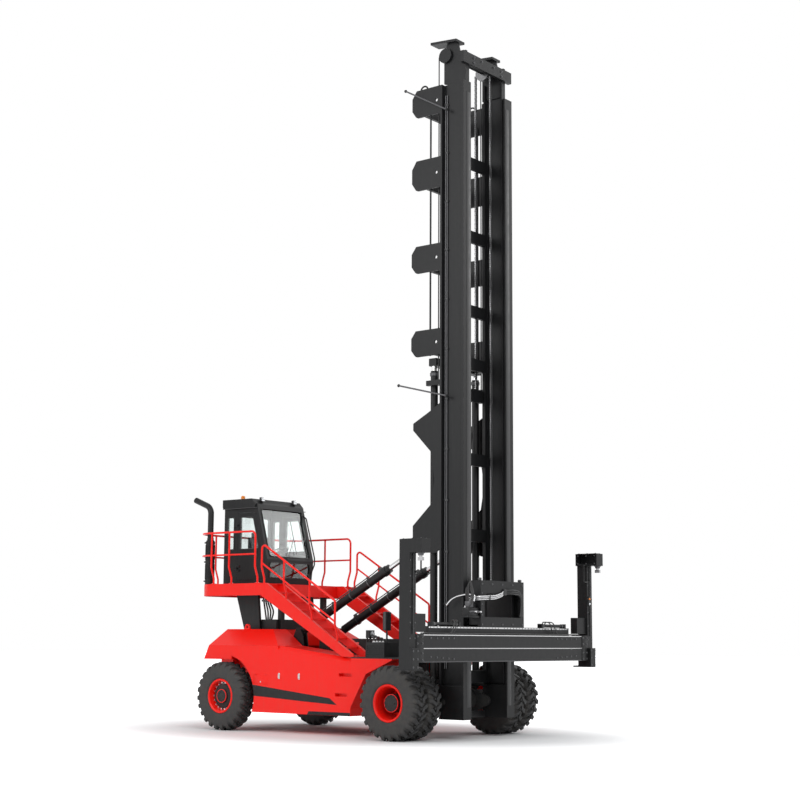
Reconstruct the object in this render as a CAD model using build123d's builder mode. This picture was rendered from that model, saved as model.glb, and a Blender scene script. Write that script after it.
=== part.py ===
from build123d import *
import os
from math import cos, pi, sin

os.makedirs("parts", exist_ok=True)

# Empty container handler, in millimetres. +X forward to the mast, +Y to the machine's left, +Z up.
# The origin is on the ground, below the middle of the drive axle.
SIDES = (("right", -1), ("left", 1))

# Clearances
running_gap = 8
seat_gap = 0.3
pivot_play = 0.1
overrun = 20

# Running gear
wheelbase = 4700
steer_x = -wheelbase
tyre_radius = 684
tyre_width = 375
rim_radius = 345
rim_wall = 14
rim_disc = 20
hub_radius = 190
axle_radius = 200
drive_half_width = 2000
dual_pitch = 430
steer_half_width = 1600
kingpin_half = 1050

# Chassis and body
sill_z = 387
frame_low = 560
frame_high = 1100
frame_half = 420
rail_wall = 130
frame_rear_offset = 650
frame_rear = steer_x - frame_rear_offset
frame_front_offset = 60
frame_front = -axle_radius - frame_front_offset
deck_z = 1500
deck_wall = 24
deck_front = -110
body_half = 1450
body_inner = 700
body_rear_offset = 750
body_rear = steer_x + body_rear_offset
body_front = -1340
belt_z = 1700
shoulder_z = 2030
shoulder_inset = 330
shoulder_front_offset = 1010
shoulder_front = steer_x + shoulder_front_offset
shoulder_foot_offset = 1460
shoulder_foot = steer_x + shoulder_foot_offset
cast_front_offset = 170
cast_front = steer_x + cast_front_offset
cast_low = 1420

# Platform, cab and stairs
platform_z = 2950
platform_band = 245
platform_plate = 12
platform_half = body_half
platform_rear_offset = 900
platform_rear = steer_x - platform_rear_offset
platform_front_offset = 950
platform_front = steer_x + platform_front_offset
corner_radius = 400
cab_floor_z = platform_z + seat_gap
cab_rear_offset = 840
cab_rear = steer_x - cab_rear_offset
cab_half = 720
cab_wall = 45
cab_pillar = 90
cab_base_front_offset = 370
cab_base_front = steer_x + cab_base_front_offset
cab_waist_front_offset = 430
cab_waist_front = steer_x + cab_waist_front_offset
cab_waist_z = 3480
cab_brow_front_offset = 110
cab_brow_front = steer_x + cab_brow_front_offset
cab_brow_z = 4640
cab_roof_z = 4740
rail_radius = 21
stanchion_radius = 20
mid_rail_radius = 18
rail_height = 1050

# Mast
mast_half = 830
mast_rear = 300
mast_front = 870
mast_foot = 370
outer_top = 12720
mast_pivot_x = 400
mast_pivot_z = tyre_radius
pivot_radius = 50
inner_half = 680
inner_foot = 1020
inner_top = 13320
lift_x = 60
lift_half = 680
lift_barrel_radius = 72
lift_rod_radius = 50
lift_foot = 1010
lift_top = 7000
lift_stroke = 5600
crosshead_z = 7100

# Tilt cylinders
tilt_half = 600
tilt_pin_x_offset = 1300
tilt_pin_x = steer_x + tilt_pin_x_offset
tilt_pin_z = 1970
tilt_eye_x = -180
tilt_eye_z = 3700
tilt_barrel_radius = 85
tilt_rod_radius = 50
tilt_pin_radius = 40
tilt_eye_radius = 95
tilt_eye_width = 90
tilt_ear_wall = 30
tilt_ear_inner = tilt_half - tilt_eye_width / 2 - running_gap
tilt_ear_outer = tilt_half + tilt_eye_width / 2 + running_gap

# Carriage and spreader
carriage_foot = 1500
carriage_top = 2940
beam_rear = 1060
beam_depth = 240
beam_front = beam_rear + beam_depth
beam_low = 1440
beam_high = 1930
beam_middle = (beam_low + beam_high) / 2
beam_wall = 16
shelf_top = 2078
post_half = 3000
post_width = 180
beam_end_gap = 10
beam_half = post_half - post_width - beam_end_gap
post_foot = 1310
head_low = 3340
head_high = 3585
arm_gap = 5
arm_tip_room = 970
arm_length = 2 * beam_half - arm_tip_room


def block(x_low, x_high, y_low, y_high, z_low, z_high, mode=Mode.ADD):
    """A box between two corners."""
    middle = ((x_low + x_high) / 2, (y_low + y_high) / 2, (z_low + z_high) / 2)
    with Locations(middle):
        Box(abs(x_high - x_low), abs(y_high - y_low), abs(z_high - z_low), mode=mode)


def side_plate(points, y_low, y_high, mode=Mode.ADD):
    """A plate with an outline of straight lines in XZ, between two places along Y."""
    with BuildSketch(Plane.XZ.offset(-min(y_low, y_high))) as outline:
        with BuildLine():
            Polyline(*points, close=True)
        make_face()
    extrude(outline.sketch, amount=-abs(y_high - y_low), mode=mode)


def rounded_plate(points, radius, rounded, y_low, y_high, mode=Mode.ADD):
    """A side plate with some of its corners, given by their numbers in the outline, rounded."""
    with BuildSketch(Plane.XZ.offset(-min(y_low, y_high))) as outline:
        with BuildLine():
            Polyline(*points, close=True)
        make_face()
        corners = [outline.vertices().sort_by_distance((points[n][0], min(y_low, y_high), points[n][1]))[0] for n in rounded]
        fillet(corners, radius=radius)
    extrude(outline.sketch, amount=-abs(y_high - y_low), mode=mode)


def disc(x, z, radius, y_low, y_high, mode=Mode.ADD):
    """A round bar along Y."""
    with BuildSketch(Plane.XZ.offset(-min(y_low, y_high))) as circle:
        with Locations((x, z)):
            Circle(radius)
    extrude(circle.sketch, amount=-abs(y_high - y_low), mode=mode)


def bar(start, end, radius, mode=Mode.ADD):
    """A round bar from one point to another."""
    run = Vector(*end) - Vector(*start)
    with BuildSketch(Plane(origin=start, z_dir=run)) as circle:
        Circle(radius)
    extrude(circle.sketch, amount=run.length, mode=mode)


def tube_run(points, radius, bend, mode=Mode.ADD):
    """A round tube along straight runs joined by arcs."""
    with BuildLine() as path:
        FilletPolyline(*points, radius=bend)
    with BuildSketch(Plane(origin=path.line @ 0, z_dir=path.line % 0)) as circle:
        Circle(radius)
    sweep(circle.sketch, path=path.line, mode=mode)


def save(sub_part, name):
    sub_part.part.label = name
    export_step(sub_part.part, f"parts/{name}.step")


# Chassis frame: two box rails that rise over the steer axle, cross members, outriggers to the body sides
# and the upright ears of the tilt cylinders
steer_axle_half = 150
frame_step_offset = 500
frame_step = steer_x + frame_step_offset
bracket_rear_offset = 520
bracket_rear = tilt_pin_x - bracket_rear_offset
bracket_front_offset = 260
bracket_front = tilt_pin_x + bracket_front_offset
bracket_base = frame_high - rail_wall
cross_shares = (0.0, 0.33, 0.72, 1.0)
rear_outrigger_offset = 1700
front_outrigger_offset = 2900
outrigger_places = (steer_x + rear_outrigger_offset, steer_x + front_outrigger_offset)
with BuildPart() as chassis_frame:
    for name, side in SIDES:
        block(frame_rear, frame_front, side * (frame_half - rail_wall), side * frame_half, frame_low, frame_high)
        block(frame_rear - overrun, frame_step, side * (frame_half + overrun), side * (frame_half - rail_wall - overrun),
              frame_low - overrun, tyre_radius + steer_axle_half + seat_gap, mode=Mode.SUBTRACT)
        for ear in (tilt_ear_inner - tilt_ear_wall, tilt_ear_outer):
            side_plate([(bracket_rear, bracket_base), (bracket_front, bracket_base),
                        (tilt_pin_x + tilt_eye_radius, tilt_pin_z), (tilt_pin_x + tilt_eye_radius / 2, tilt_pin_z + tilt_eye_radius),
                        (tilt_pin_x - tilt_eye_radius / 2, tilt_pin_z + tilt_eye_radius), (tilt_pin_x - tilt_eye_radius, tilt_pin_z)],
                       side * ear, side * (ear + tilt_ear_wall))
        disc(tilt_pin_x, tilt_pin_z, tilt_pin_radius, side * (tilt_ear_inner - tilt_ear_wall), side * (tilt_ear_outer + tilt_ear_wall))
        block(bracket_rear, bracket_front, side * (frame_half - rail_wall), side * (tilt_ear_outer + tilt_ear_wall),
              bracket_base, bracket_base + rail_wall / 2)
        for outrigger_x in outrigger_places:
            block(outrigger_x - rail_wall / 2, outrigger_x + rail_wall / 2, side * (frame_half - overrun),
                  side * (body_inner - seat_gap), frame_low + rail_wall, frame_high - rail_wall)
    for cross_share in cross_shares:
        cross_x = frame_rear + rail_wall / 2 + cross_share * (frame_front - frame_rear - rail_wall)
        block(cross_x - rail_wall / 2, cross_x + rail_wall / 2, -frame_half + overrun, frame_half - overrun,
              frame_high - 2 * rail_wall, frame_high - rail_wall / 4)
save(chassis_frame, "chassis_frame")

# Drive axle: round housing with a bowl in the middle, saddles against the frame, spindles for the wheels
# and ears that carry the mast's pivot pins
bowl_radius = 250
bowl_half = 210
drive_housing_half = 1120
spindle_radius = 90
spindle_half = 1480
ear_inner = 500
ear_outer = 570
ear_radius = 95
with BuildPart() as drive_axle:
    disc(0, tyre_radius, axle_radius, -drive_housing_half, drive_housing_half)
    disc(0, tyre_radius, spindle_radius, -spindle_half, spindle_half)
    disc(0, tyre_radius, bowl_radius, -bowl_half, bowl_half)
    for name, side in SIDES:
        block(frame_front + seat_gap, 0, side * (frame_half - rail_wall), side * frame_half,
              frame_low, tyre_radius + axle_radius)
        with BuildSketch(Plane.XZ.offset(-min(side * ear_inner, side * ear_outer))) as ear_outline:
            with Locations((0, tyre_radius)):
                Circle(axle_radius + rail_wall / 4)
            with Locations((mast_pivot_x, mast_pivot_z)):
                Circle(ear_radius)
            make_hull()
        extrude(ear_outline.sketch, amount=-(ear_outer - ear_inner))
        disc(mast_pivot_x, mast_pivot_z, pivot_radius, side * ear_inner, side * (mast_half + running_gap))
save(drive_axle, "drive_axle")

# Steer axle: box beam with a fork at each end for the kingpins
steer_beam_half = 880
kingpin_radius = 45
knuckle_half_height = 150
knuckle_inset = 30
fork_wall = 50
fork_half = 110
fork_rise = knuckle_half_height + fork_wall + running_gap
with BuildPart() as steer_axle:
    block(steer_x - steer_axle_half, steer_x + steer_axle_half, -steer_beam_half, steer_beam_half,
          tyre_radius - steer_axle_half, tyre_radius + steer_axle_half)
    for name, side in SIDES:
        for level in (-1, 1):
            low = tyre_radius + level * (knuckle_half_height + running_gap)
            block(steer_x - fork_half, steer_x + fork_half, side * (steer_beam_half - fork_half),
                  side * (kingpin_half + fork_half), low, low + level * fork_wall)
        block(steer_x - fork_half, steer_x + fork_half, side * (steer_beam_half - fork_half), side * steer_beam_half,
              tyre_radius - fork_rise, tyre_radius + fork_rise)
        bar((steer_x, side * kingpin_half, tyre_radius - fork_rise - overrun),
            (steer_x, side * kingpin_half, tyre_radius + fork_rise + overrun), kingpin_radius + pivot_play, mode=Mode.SUBTRACT)
save(steer_axle, "steer_axle")

# Tyres: each is two rings of lugs, set half a pitch apart, whose flat faces narrow towards the shoulder
lug_count = 16
lug_depth = 32
shoulder_drop = 50
tread_share = 0.70
bead_sides = 32
bead_radius = (rim_radius + seat_gap) / cos(pi / bead_sides)
lug_foot_share = 0.30
lug_top_share = 0.20


def lug_points(drop, turn_share):
    """Outline of a ring of lugs, a little smaller where the shoulder has dropped. One corner touches the ground."""
    points = []
    for lug in range(lug_count):
        for pitch_share, depth in ((-lug_foot_share, lug_depth), (-lug_top_share, 0), (lug_top_share, 0), (lug_foot_share, lug_depth)):
            angle = 2 * pi * (lug + turn_share + lug_top_share + pitch_share) / lug_count - pi / 2
            radius = tyre_radius - depth - drop
            points.append((radius * cos(angle), tyre_radius + radius * sin(angle)))
    return points


with BuildPart() as tyre:
    for way, turn_share in ((-1, 0.0), (1, 0.5)):
        sections = []
        for y_share, drop in ((0, 0), (tread_share, 0), (1, shoulder_drop)):
            with BuildSketch(Plane.XZ.offset(-way * tyre_width / 2 * y_share)) as section:
                with BuildLine():
                    Polyline(*lug_points(drop, turn_share), close=True)
                make_face()
            sections.append(section.sketch)
        extrude(sections[0], amount=-way * tyre_width / 2 * tread_share)
        loft(sections=[sections[1], sections[2]], ruled=True)
    with BuildSketch(Plane.XZ.offset(tyre_width / 2 + overrun)) as bead:
        with Locations((0, tyre_radius)):
            RegularPolygon(radius=bead_radius, side_count=bead_sides)
    extrude(bead.sketch, amount=-(tyre_width + 2 * overrun), mode=Mode.SUBTRACT)

dual_outer = drive_half_width - tyre_width / 2
dual_inner = dual_outer - dual_pitch
steer_middle = steer_half_width - tyre_width / 2
rim_half = 160
rim_lip = 18
lip_wall = 14
drive_disc_y_offset = 120
drive_disc_y = dual_inner + drive_disc_y_offset
drive_cap_y_offset = 70
drive_cap_y = dual_outer + drive_cap_y_offset
drive_cap_radius = 165
steer_hub_radius = 135
steer_hub_y_offset = 130
steer_hub_y = steer_middle + steer_hub_y_offset
nut_circle = 225
nut_radius = 15
nut_length = 34
nut_count = 10
for name, side in SIDES:
    with BuildPart() as drive_tyres:
        for middle in (dual_outer, dual_inner):
            add(tyre.part.moved(Location((0, side * middle, 0))))
    save(drive_tyres, f"drive_tyres_{name}")

    # Drive rims: one barrel through both tyres, a deep disc and the planetary hub's round cap
    with BuildPart() as drive_rims:
        disc(0, tyre_radius, rim_radius, side * (dual_inner - rim_half), side * (dual_outer + rim_half))
        disc(0, tyre_radius, rim_radius - rim_wall, side * (dual_inner - rim_half), side * drive_disc_y, mode=Mode.SUBTRACT)
        disc(0, tyre_radius, rim_radius - rim_wall, side * (drive_disc_y + rim_disc), side * (dual_outer + rim_half), mode=Mode.SUBTRACT)
        disc(0, tyre_radius, hub_radius, side * (drive_housing_half + running_gap), side * (drive_disc_y + rim_disc))
        disc(0, tyre_radius, drive_cap_radius, side * drive_disc_y, side * drive_cap_y)
        disc(0, tyre_radius, spindle_radius + pivot_play, side * drive_housing_half, side * (spindle_half + running_gap), mode=Mode.SUBTRACT)
        with Locations(*[Location((nut_circle * cos(2 * pi * nut / nut_count), side * (drive_disc_y + rim_disc + nut_length / 2),
                                   tyre_radius + nut_circle * sin(2 * pi * nut / nut_count)), (90, 0, 0)) for nut in range(nut_count)]):
            Cylinder(nut_radius, nut_length + 2 * seat_gap)
    save(drive_rims, f"drive_rims_{name}")

    # Knuckle: block between the fork's plates, kingpin and the wheel's spindle
    with BuildPart() as knuckle:
        block(steer_x - fork_half, steer_x + fork_half, side * (kingpin_half - fork_half + knuckle_inset), side * (kingpin_half + fork_half),
              tyre_radius - knuckle_half_height, tyre_radius + knuckle_half_height)
        disc(steer_x, tyre_radius, kingpin_radius, side * kingpin_half, side * (steer_middle + rim_disc))
        bar((steer_x, side * kingpin_half, tyre_radius - fork_rise), (steer_x, side * kingpin_half, tyre_radius + fork_rise),
            kingpin_radius)
    save(knuckle, f"knuckle_{name}")

    with BuildPart() as steer_tyre:
        add(tyre.part.moved(Location((steer_x, side * steer_middle, 0))))
    save(steer_tyre, f"steer_tyre_{name}")

    # Steer rim: barrel, disc near the outer face, hub and a ring of wheel nuts
    with BuildPart() as steer_rim:
        disc(steer_x, tyre_radius, rim_radius, side * (steer_middle - rim_half), side * (steer_middle + rim_half))
        disc(steer_x, tyre_radius, rim_radius - rim_wall, side * (steer_middle - rim_half), side * (steer_middle + rim_disc), mode=Mode.SUBTRACT)
        disc(steer_x, tyre_radius, rim_radius - rim_wall, side * (steer_middle + 2 * rim_disc), side * (steer_middle + rim_half), mode=Mode.SUBTRACT)
        disc(steer_x, tyre_radius, steer_hub_radius, side * (steer_middle - rim_half / 2), side * steer_hub_y)
        disc(steer_x, tyre_radius, kingpin_radius + pivot_play, side * (steer_middle - rim_half), side * (steer_middle + rim_disc + running_gap), mode=Mode.SUBTRACT)
        with Locations(*[Location((steer_x + nut_circle * cos(2 * pi * nut / nut_count), side * (steer_middle + 2 * rim_disc + nut_length / 2),
                                   tyre_radius + nut_circle * sin(2 * pi * nut / nut_count)), (90, 0, 0)) for nut in range(nut_count)]):
            Cylinder(nut_radius, nut_length + 2 * seat_gap)
    save(steer_rim, f"steer_rim_{name}")

# Counterweight: one casting. Its plan is rounded behind, its shoulders lean in above the belt, and it reaches
# down between the steered wheels, with a towing pin behind.
# Plans from the bottom up: height, half width, where the corner starts, rearmost x
cast_low_corner = 620
cast_low_rear = 1050
cast_belt_corner = 480
cast_belt_rear = 920
cast_top_corner = 280
cast_top_rear = 640
cast_plans = ((cast_low, body_half, steer_x - cast_low_corner, steer_x - cast_low_rear),
              (belt_z, body_half, steer_x - cast_belt_corner, steer_x - cast_belt_rear),
              (shoulder_z, body_half - shoulder_inset, steer_x - cast_top_corner, steer_x - cast_top_rear))
cast_rear_half_share = 0.58
well_half = 560
well_rear_offset = 1000
well_rear = steer_x - well_rear_offset
well_low_offset = 150
well_low = sill_z + well_low_offset
eye_x_offset = 255
eye_x = steer_x + eye_x_offset
eye_radius = 60
eye_hole = 28
eye_wall = 40
eye_y = 1080
eye_rise = 45
tow_slot_z = 760
tow_slot_half = 60
tow_pin_radius = 25
tow_depth = 180
with BuildPart() as counterweight:
    plans = []
    for plan_z, half, corner_x, rear_x in cast_plans:
        rear_half = half * cast_rear_half_share
        with BuildSketch(Plane.XY.offset(plan_z)) as plan:
            with BuildLine():
                Polyline((cast_front, -half), (cast_front, half), (corner_x, half), (rear_x, rear_half), (rear_x, -rear_half),
                         (corner_x, -half), close=True)
            make_face()
        plans.append(plan.sketch)
    loft(sections=plans, ruled=True)
    block(frame_rear - seat_gap, well_rear, -well_half, well_half, well_low, cast_low + overrun)
    block(frame_rear - seat_gap - overrun, cast_front, -frame_half + overrun, frame_half - overrun, frame_high + seat_gap, cast_low + overrun)
    block(well_rear - overrun, well_rear + tow_depth, -tow_slot_half, tow_slot_half, tow_slot_z - tow_slot_half,
          tow_slot_z + tow_slot_half, mode=Mode.SUBTRACT)
    bar((well_rear + tow_depth / 2, 0, tow_slot_z - 2 * tow_slot_half), (well_rear + tow_depth / 2, 0, tow_slot_z + 2 * tow_slot_half), tow_pin_radius)
save(counterweight, "counterweight")

# Body sides: tank bodies between the wheels. The rear arch is cut through the outer wall and widened behind it for
# the turned wheel, the front end follows the drive wheels, and two foot holes are cut near the front edge.
arch_radius = 820
arch_x = -330
arch_z = 550
fender_radius = 900
fender_share = 0.707
steer_sweep_radius = 870
body_wall = 30
belt_chamfer = 70
# Foot holes: rear x, front x, height
foot_hole_length = 300
low_hole_offset = 90
low_hole_z = 780
high_hole_z = 1160
foot_holes = ((body_front - low_hole_offset - foot_hole_length, body_front - low_hole_offset, low_hole_z),
              (body_front - foot_hole_length, body_front + overrun, high_hole_z))
foot_hole_half = 30
foot_hole_depth = 90
for name, side in SIDES:
    with BuildPart() as body_side:
        with BuildSketch(Plane.XZ.offset(-min(side * body_inner, side * body_half))) as outline:
            with BuildLine():
                Polyline((body_rear, sill_z), (body_front, sill_z), (body_front, arch_z),
                         (arch_x - fender_radius * fender_share, arch_z + fender_radius * fender_share),
                         (arch_x, arch_z + fender_radius), (arch_x, deck_z - deck_wall), (body_front, deck_z - deck_wall),
                         (shoulder_foot, belt_z), (cast_front + seat_gap, belt_z), (cast_front + seat_gap, cast_low), close=True)
            make_face()
            with Locations((steer_x, tyre_radius)):
                Circle(arch_radius, mode=Mode.SUBTRACT)
        extrude(outline.sketch, amount=-(body_half - body_inner))
        with BuildSketch(Plane.XY.offset(sill_z)) as wheel_sweep:
            with Locations((steer_x, side * kingpin_half)):
                Circle(steer_sweep_radius)
            with Locations((steer_x, side * (body_half + steer_sweep_radius - body_wall))):
                Rectangle(2 * steer_sweep_radius, 2 * steer_sweep_radius, mode=Mode.SUBTRACT)
        extrude(wheel_sweep.sketch, amount=cast_low - sill_z, mode=Mode.SUBTRACT)
        with BuildSketch(Plane.YZ.offset(shoulder_foot)) as bevel:
            with BuildLine():
                Polyline((side * (body_half - belt_chamfer), belt_z + overrun), (side * (body_half + overrun), belt_z + overrun),
                         (side * (body_half + overrun), belt_z - belt_chamfer), (side * body_half, belt_z - belt_chamfer),
                         (side * (body_half - belt_chamfer), belt_z), close=True)
            make_face()
        bevel_run = Vector(body_front - shoulder_foot, 0, deck_z - deck_wall - belt_z)
        extrude(bevel.sketch, amount=bevel_run.length, dir=bevel_run.normalized(), mode=Mode.SUBTRACT)
        for hole_rear, hole_front, hole_z in foot_holes:
            block(hole_rear, hole_front, side * (body_half - foot_hole_depth), side * (body_half + overrun),
                  hole_z - foot_hole_half, hole_z + foot_hole_half, mode=Mode.SUBTRACT)
    save(body_side, f"body_{name}")

# Rear hood between the counterweight and the stairs. It carries on the leaning shoulders and slopes down in front,
# with a bay for the tilt cylinders' feet.
bay_half = body_inner + overrun
with BuildPart() as rear_hood:
    with BuildSketch(Plane.YZ.offset(cast_front + seat_gap)) as hood_face:
        with BuildLine():
            Polyline((-body_half, belt_z + seat_gap), (body_half, belt_z + seat_gap), (body_half - shoulder_inset, shoulder_z),
                     (-body_half + shoulder_inset, shoulder_z), close=True)
        make_face()
    extrude(hood_face.sketch, amount=shoulder_foot - cast_front - seat_gap)
    side_plate([(shoulder_foot, belt_z), (shoulder_front, shoulder_z), (shoulder_front, shoulder_z + overrun),
                (shoulder_foot + overrun, shoulder_z + overrun), (shoulder_foot + overrun, belt_z)],
               -body_half - overrun, body_half + overrun, mode=Mode.SUBTRACT)
    block(bracket_rear, shoulder_foot + overrun, -bay_half, bay_half, belt_z, shoulder_z + overrun, mode=Mode.SUBTRACT)
    for name, side in SIDES:
        with BuildSketch(Plane.XZ.offset(-(side * eye_y - eye_wall / 2))) as eye_outline:
            with Locations((eye_x, shoulder_z + eye_rise)):
                Circle(eye_radius)
            with Locations((eye_x, shoulder_z - eye_radius / 2)):
                Rectangle(2.6 * eye_radius, eye_radius)
            make_hull()
            with Locations((eye_x, shoulder_z + eye_rise)):
                Circle(eye_hole, mode=Mode.SUBTRACT)
        extrude(eye_outline.sketch, amount=-eye_wall)
save(rear_hood, "rear_hood")

# Engine block on four feet, and its hood
engine_rear_offset = 1750
engine_rear = steer_x + engine_rear_offset
engine_front_offset = 2850
engine_front = steer_x + engine_front_offset
engine_half = 275
engine_low = 650
engine_high = 1480
engine_feet = (engine_rear + rail_wall, engine_front - rail_wall)
with BuildPart() as engine_block:
    block(engine_rear, engine_front, -engine_half, engine_half, engine_low, engine_high)
    for foot_x in engine_feet:
        block(foot_x - rail_wall / 2, foot_x + rail_wall / 2, -frame_half + rail_wall / 2, frame_half - rail_wall / 2,
              frame_high + seat_gap, frame_high + rail_wall / 2)
save(engine_block, "engine_block")

hood_rear_offset = 1650
hood_rear = steer_x + hood_rear_offset
hood_front_offset = 100
hood_front = body_front - hood_front_offset
hood_high = 1850
hood_wall = 20
hood_half = 430
vent_count = 7
vent_height = 40
vent_rear_offset = 250
vent_rear = hood_rear + vent_rear_offset
vent_front_offset = 1050
vent_front = hood_rear + vent_front_offset
vent_low = 1260
with BuildPart() as engine_hood:
    block(hood_rear, hood_front, -hood_half, hood_half, frame_high + seat_gap, hood_high)
    block(hood_rear + hood_wall, hood_front - hood_wall, -hood_half + hood_wall, hood_half - hood_wall,
          frame_high, hood_high - hood_wall, mode=Mode.SUBTRACT)
    for vent in range(vent_count):
        vent_z = vent_low + 2 * vent * vent_height
        block(vent_rear, vent_front, -hood_half - overrun, hood_half + overrun, vent_z, vent_z + vent_height, mode=Mode.SUBTRACT)
save(engine_hood, "engine_hood")

# Deck plate over the drive axle, on two legs from the frame
leg_rear_offset = 500
leg_rear = frame_front - leg_rear_offset
leg_front_offset = 40
leg_front = frame_front - leg_front_offset
leg_wall = 60
with BuildPart() as deck:
    block(body_front + seat_gap, deck_front, -body_half, body_half, deck_z - deck_wall + seat_gap, deck_z)
    for name, side in SIDES:
        block(leg_rear, leg_front, side * (frame_half - leg_wall), side * frame_half, frame_high + seat_gap, deck_z - deck_wall / 2)
save(deck, "deck")

# What stands on the deck: on the right a louvred box, a work lamp and a mirror on their posts, on the left a tank
louvre_rear_offset = 340
louvre_rear = body_front + louvre_rear_offset
louvre_front_offset = 780
louvre_front = body_front + louvre_front_offset
louvre_inner = 960
louvre_outer = 1400
louvre_high = 1780
louvre_count = 5
louvre_depth = 12
louvre_height = 20
post_radius = 18
lamp_post_x_offset = 250
lamp_post_x = body_front + lamp_post_x_offset
lamp_post_y = 1180
lamp_half = 75
lamp_depth = 90
lamp_top = 2010
mirror_post_x_offset = 720
mirror_post_x = body_front + mirror_post_x_offset
mirror_post_y = 1250
mirror_low = 2010
mirror_high = 2350
mirror_half = 75
mirror_depth = 40
tank_x_offset = 480
tank_x = body_front + tank_x_offset
tank_inner = 700
tank_outer = 1320
tank_radius = 150
tank_saddle = 60
with BuildPart() as deck_equipment:
    block(louvre_rear, louvre_front, -louvre_outer, -louvre_inner, deck_z + seat_gap, louvre_high)
    for louvre in range(louvre_count):
        slot_z = deck_z + 2 * (louvre + 1) * louvre_height
        block(louvre_rear + louvre_height, louvre_front - louvre_height, -louvre_outer - overrun, -louvre_outer + louvre_depth,
              slot_z, slot_z + louvre_height, mode=Mode.SUBTRACT)
    bar((lamp_post_x, -lamp_post_y, deck_z + seat_gap), (lamp_post_x, -lamp_post_y, lamp_top - lamp_half), post_radius)
    block(lamp_post_x - lamp_depth / 2, lamp_post_x + lamp_depth / 2, -lamp_post_y - lamp_half, -lamp_post_y + lamp_half,
          lamp_top - 2 * lamp_half, lamp_top)
    disc(tank_x, deck_z + tank_radius + tank_saddle, tank_radius, tank_inner, tank_outer)
    for saddle_y in (tank_inner + tank_saddle, tank_outer - 2 * tank_saddle):
        block(tank_x - tank_radius, tank_x + tank_radius, saddle_y, saddle_y + tank_saddle, deck_z + seat_gap, deck_z + tank_radius)
    bar((mirror_post_x, -mirror_post_y, louvre_high - post_radius), (mirror_post_x, -mirror_post_y, mirror_high - mirror_half), post_radius)
    block(mirror_post_x - mirror_depth, mirror_post_x + mirror_depth, -mirror_post_y - mirror_half, -mirror_post_y + mirror_half,
          mirror_low, mirror_high)
save(deck_equipment, "deck_equipment")

# Support of the cab and platform: tapered side plates, front posts, cross beams and a box that ties the posts
support_half = 800
support_wall = 60
support_top = platform_z - platform_plate - seat_gap
support_beam = 120
cross_beam = 100
cross_beam_half = 40
support_foot_rear_offset = 60
support_foot_rear = steer_x - support_foot_rear_offset
support_foot_front_offset = 390
support_foot_front = steer_x + support_foot_front_offset
support_head_rear_offset = 290
support_head_rear = steer_x - support_head_rear_offset
support_head_front_offset = 320
support_head_front = steer_x + support_head_front_offset
support_post_x_offset = 790
support_post_x = steer_x + support_post_x_offset
support_post_half = 50
beam_reach = platform_half - platform_plate - support_wall
rear_beam_reach_offset = 250
rear_beam_reach = platform_half - rear_beam_reach_offset
support_box = 200
with BuildPart() as cab_support:
    for name, side in SIDES:
        side_plate([(support_foot_rear, shoulder_z + seat_gap), (support_foot_front, shoulder_z + seat_gap),
                    (support_head_front, platform_z - platform_band), (support_head_front, support_top),
                    (support_head_rear, support_top), (support_head_rear, platform_z - platform_band)],
                   side * support_half, side * (support_half + support_wall))
        block(platform_rear + support_box, platform_front - support_box, side * (support_half - support_wall), side * support_half,
              support_top - support_beam, support_top)
        block(support_post_x - support_post_half, support_post_x + support_post_half, side * (support_half - 4 * support_post_half),
              side * (support_half - 2 * support_post_half), shoulder_z + seat_gap, support_top)
    for beam_x, reach in ((platform_rear + support_box + support_wall, rear_beam_reach), (steer_x, beam_reach),
                          (support_post_x - support_box, beam_reach)):
        block(beam_x - cross_beam_half, beam_x + cross_beam_half, -reach, reach, support_top - cross_beam, support_top)
    block(support_foot_front - support_wall, support_post_x, -support_half, support_half, shoulder_z + seat_gap, shoulder_z + support_box)
save(cab_support, "cab_support")

# Platform: plate and red edge band round it
with BuildPart() as platform:
    for inset, plane_z, mode in ((0, platform_z, Mode.ADD), (platform_plate, platform_z - platform_plate, Mode.SUBTRACT)):
        with BuildSketch(Plane.XY.offset(plane_z)) as plan:
            with Locations(((platform_rear + platform_front) / 2, 0)):
                Rectangle(platform_front - platform_rear - 2 * inset, 2 * platform_half - 2 * inset)
            fillet(plan.vertices().group_by(Axis.X)[0], radius=corner_radius - inset)
        extrude(plan.sketch, amount=-platform_band, mode=mode)
save(platform, "platform")

# Stairs on both sides, down to the front: channel strings with treads between them
stair_inner = 900
stair_outer = body_half
stair_top_x = platform_front + seat_gap
stair_foot_x_offset = 160
stair_foot_x = body_front - stair_foot_x_offset
stair_foot_z_offset = 5
stair_foot_z = deck_z + stair_foot_z_offset
stair_foot = 160
stair_landing = 150
string_wall = 12
string_flange = 65
step_count = 7
tread_depth = 240
tread_wall = 30
tread_setback = 40
string_top = Vector(stair_top_x + stair_landing, 0, platform_z)
string_end = Vector(stair_foot_x + stair_foot, 0, stair_foot_z + string_flange)
string_slope = (string_top.Z - string_end.Z) / (string_end.X - string_top.X)


def string_high(x):
    """Height of the strings' top edge."""
    return string_top.Z - max(0, x - string_top.X) * string_slope


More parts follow.
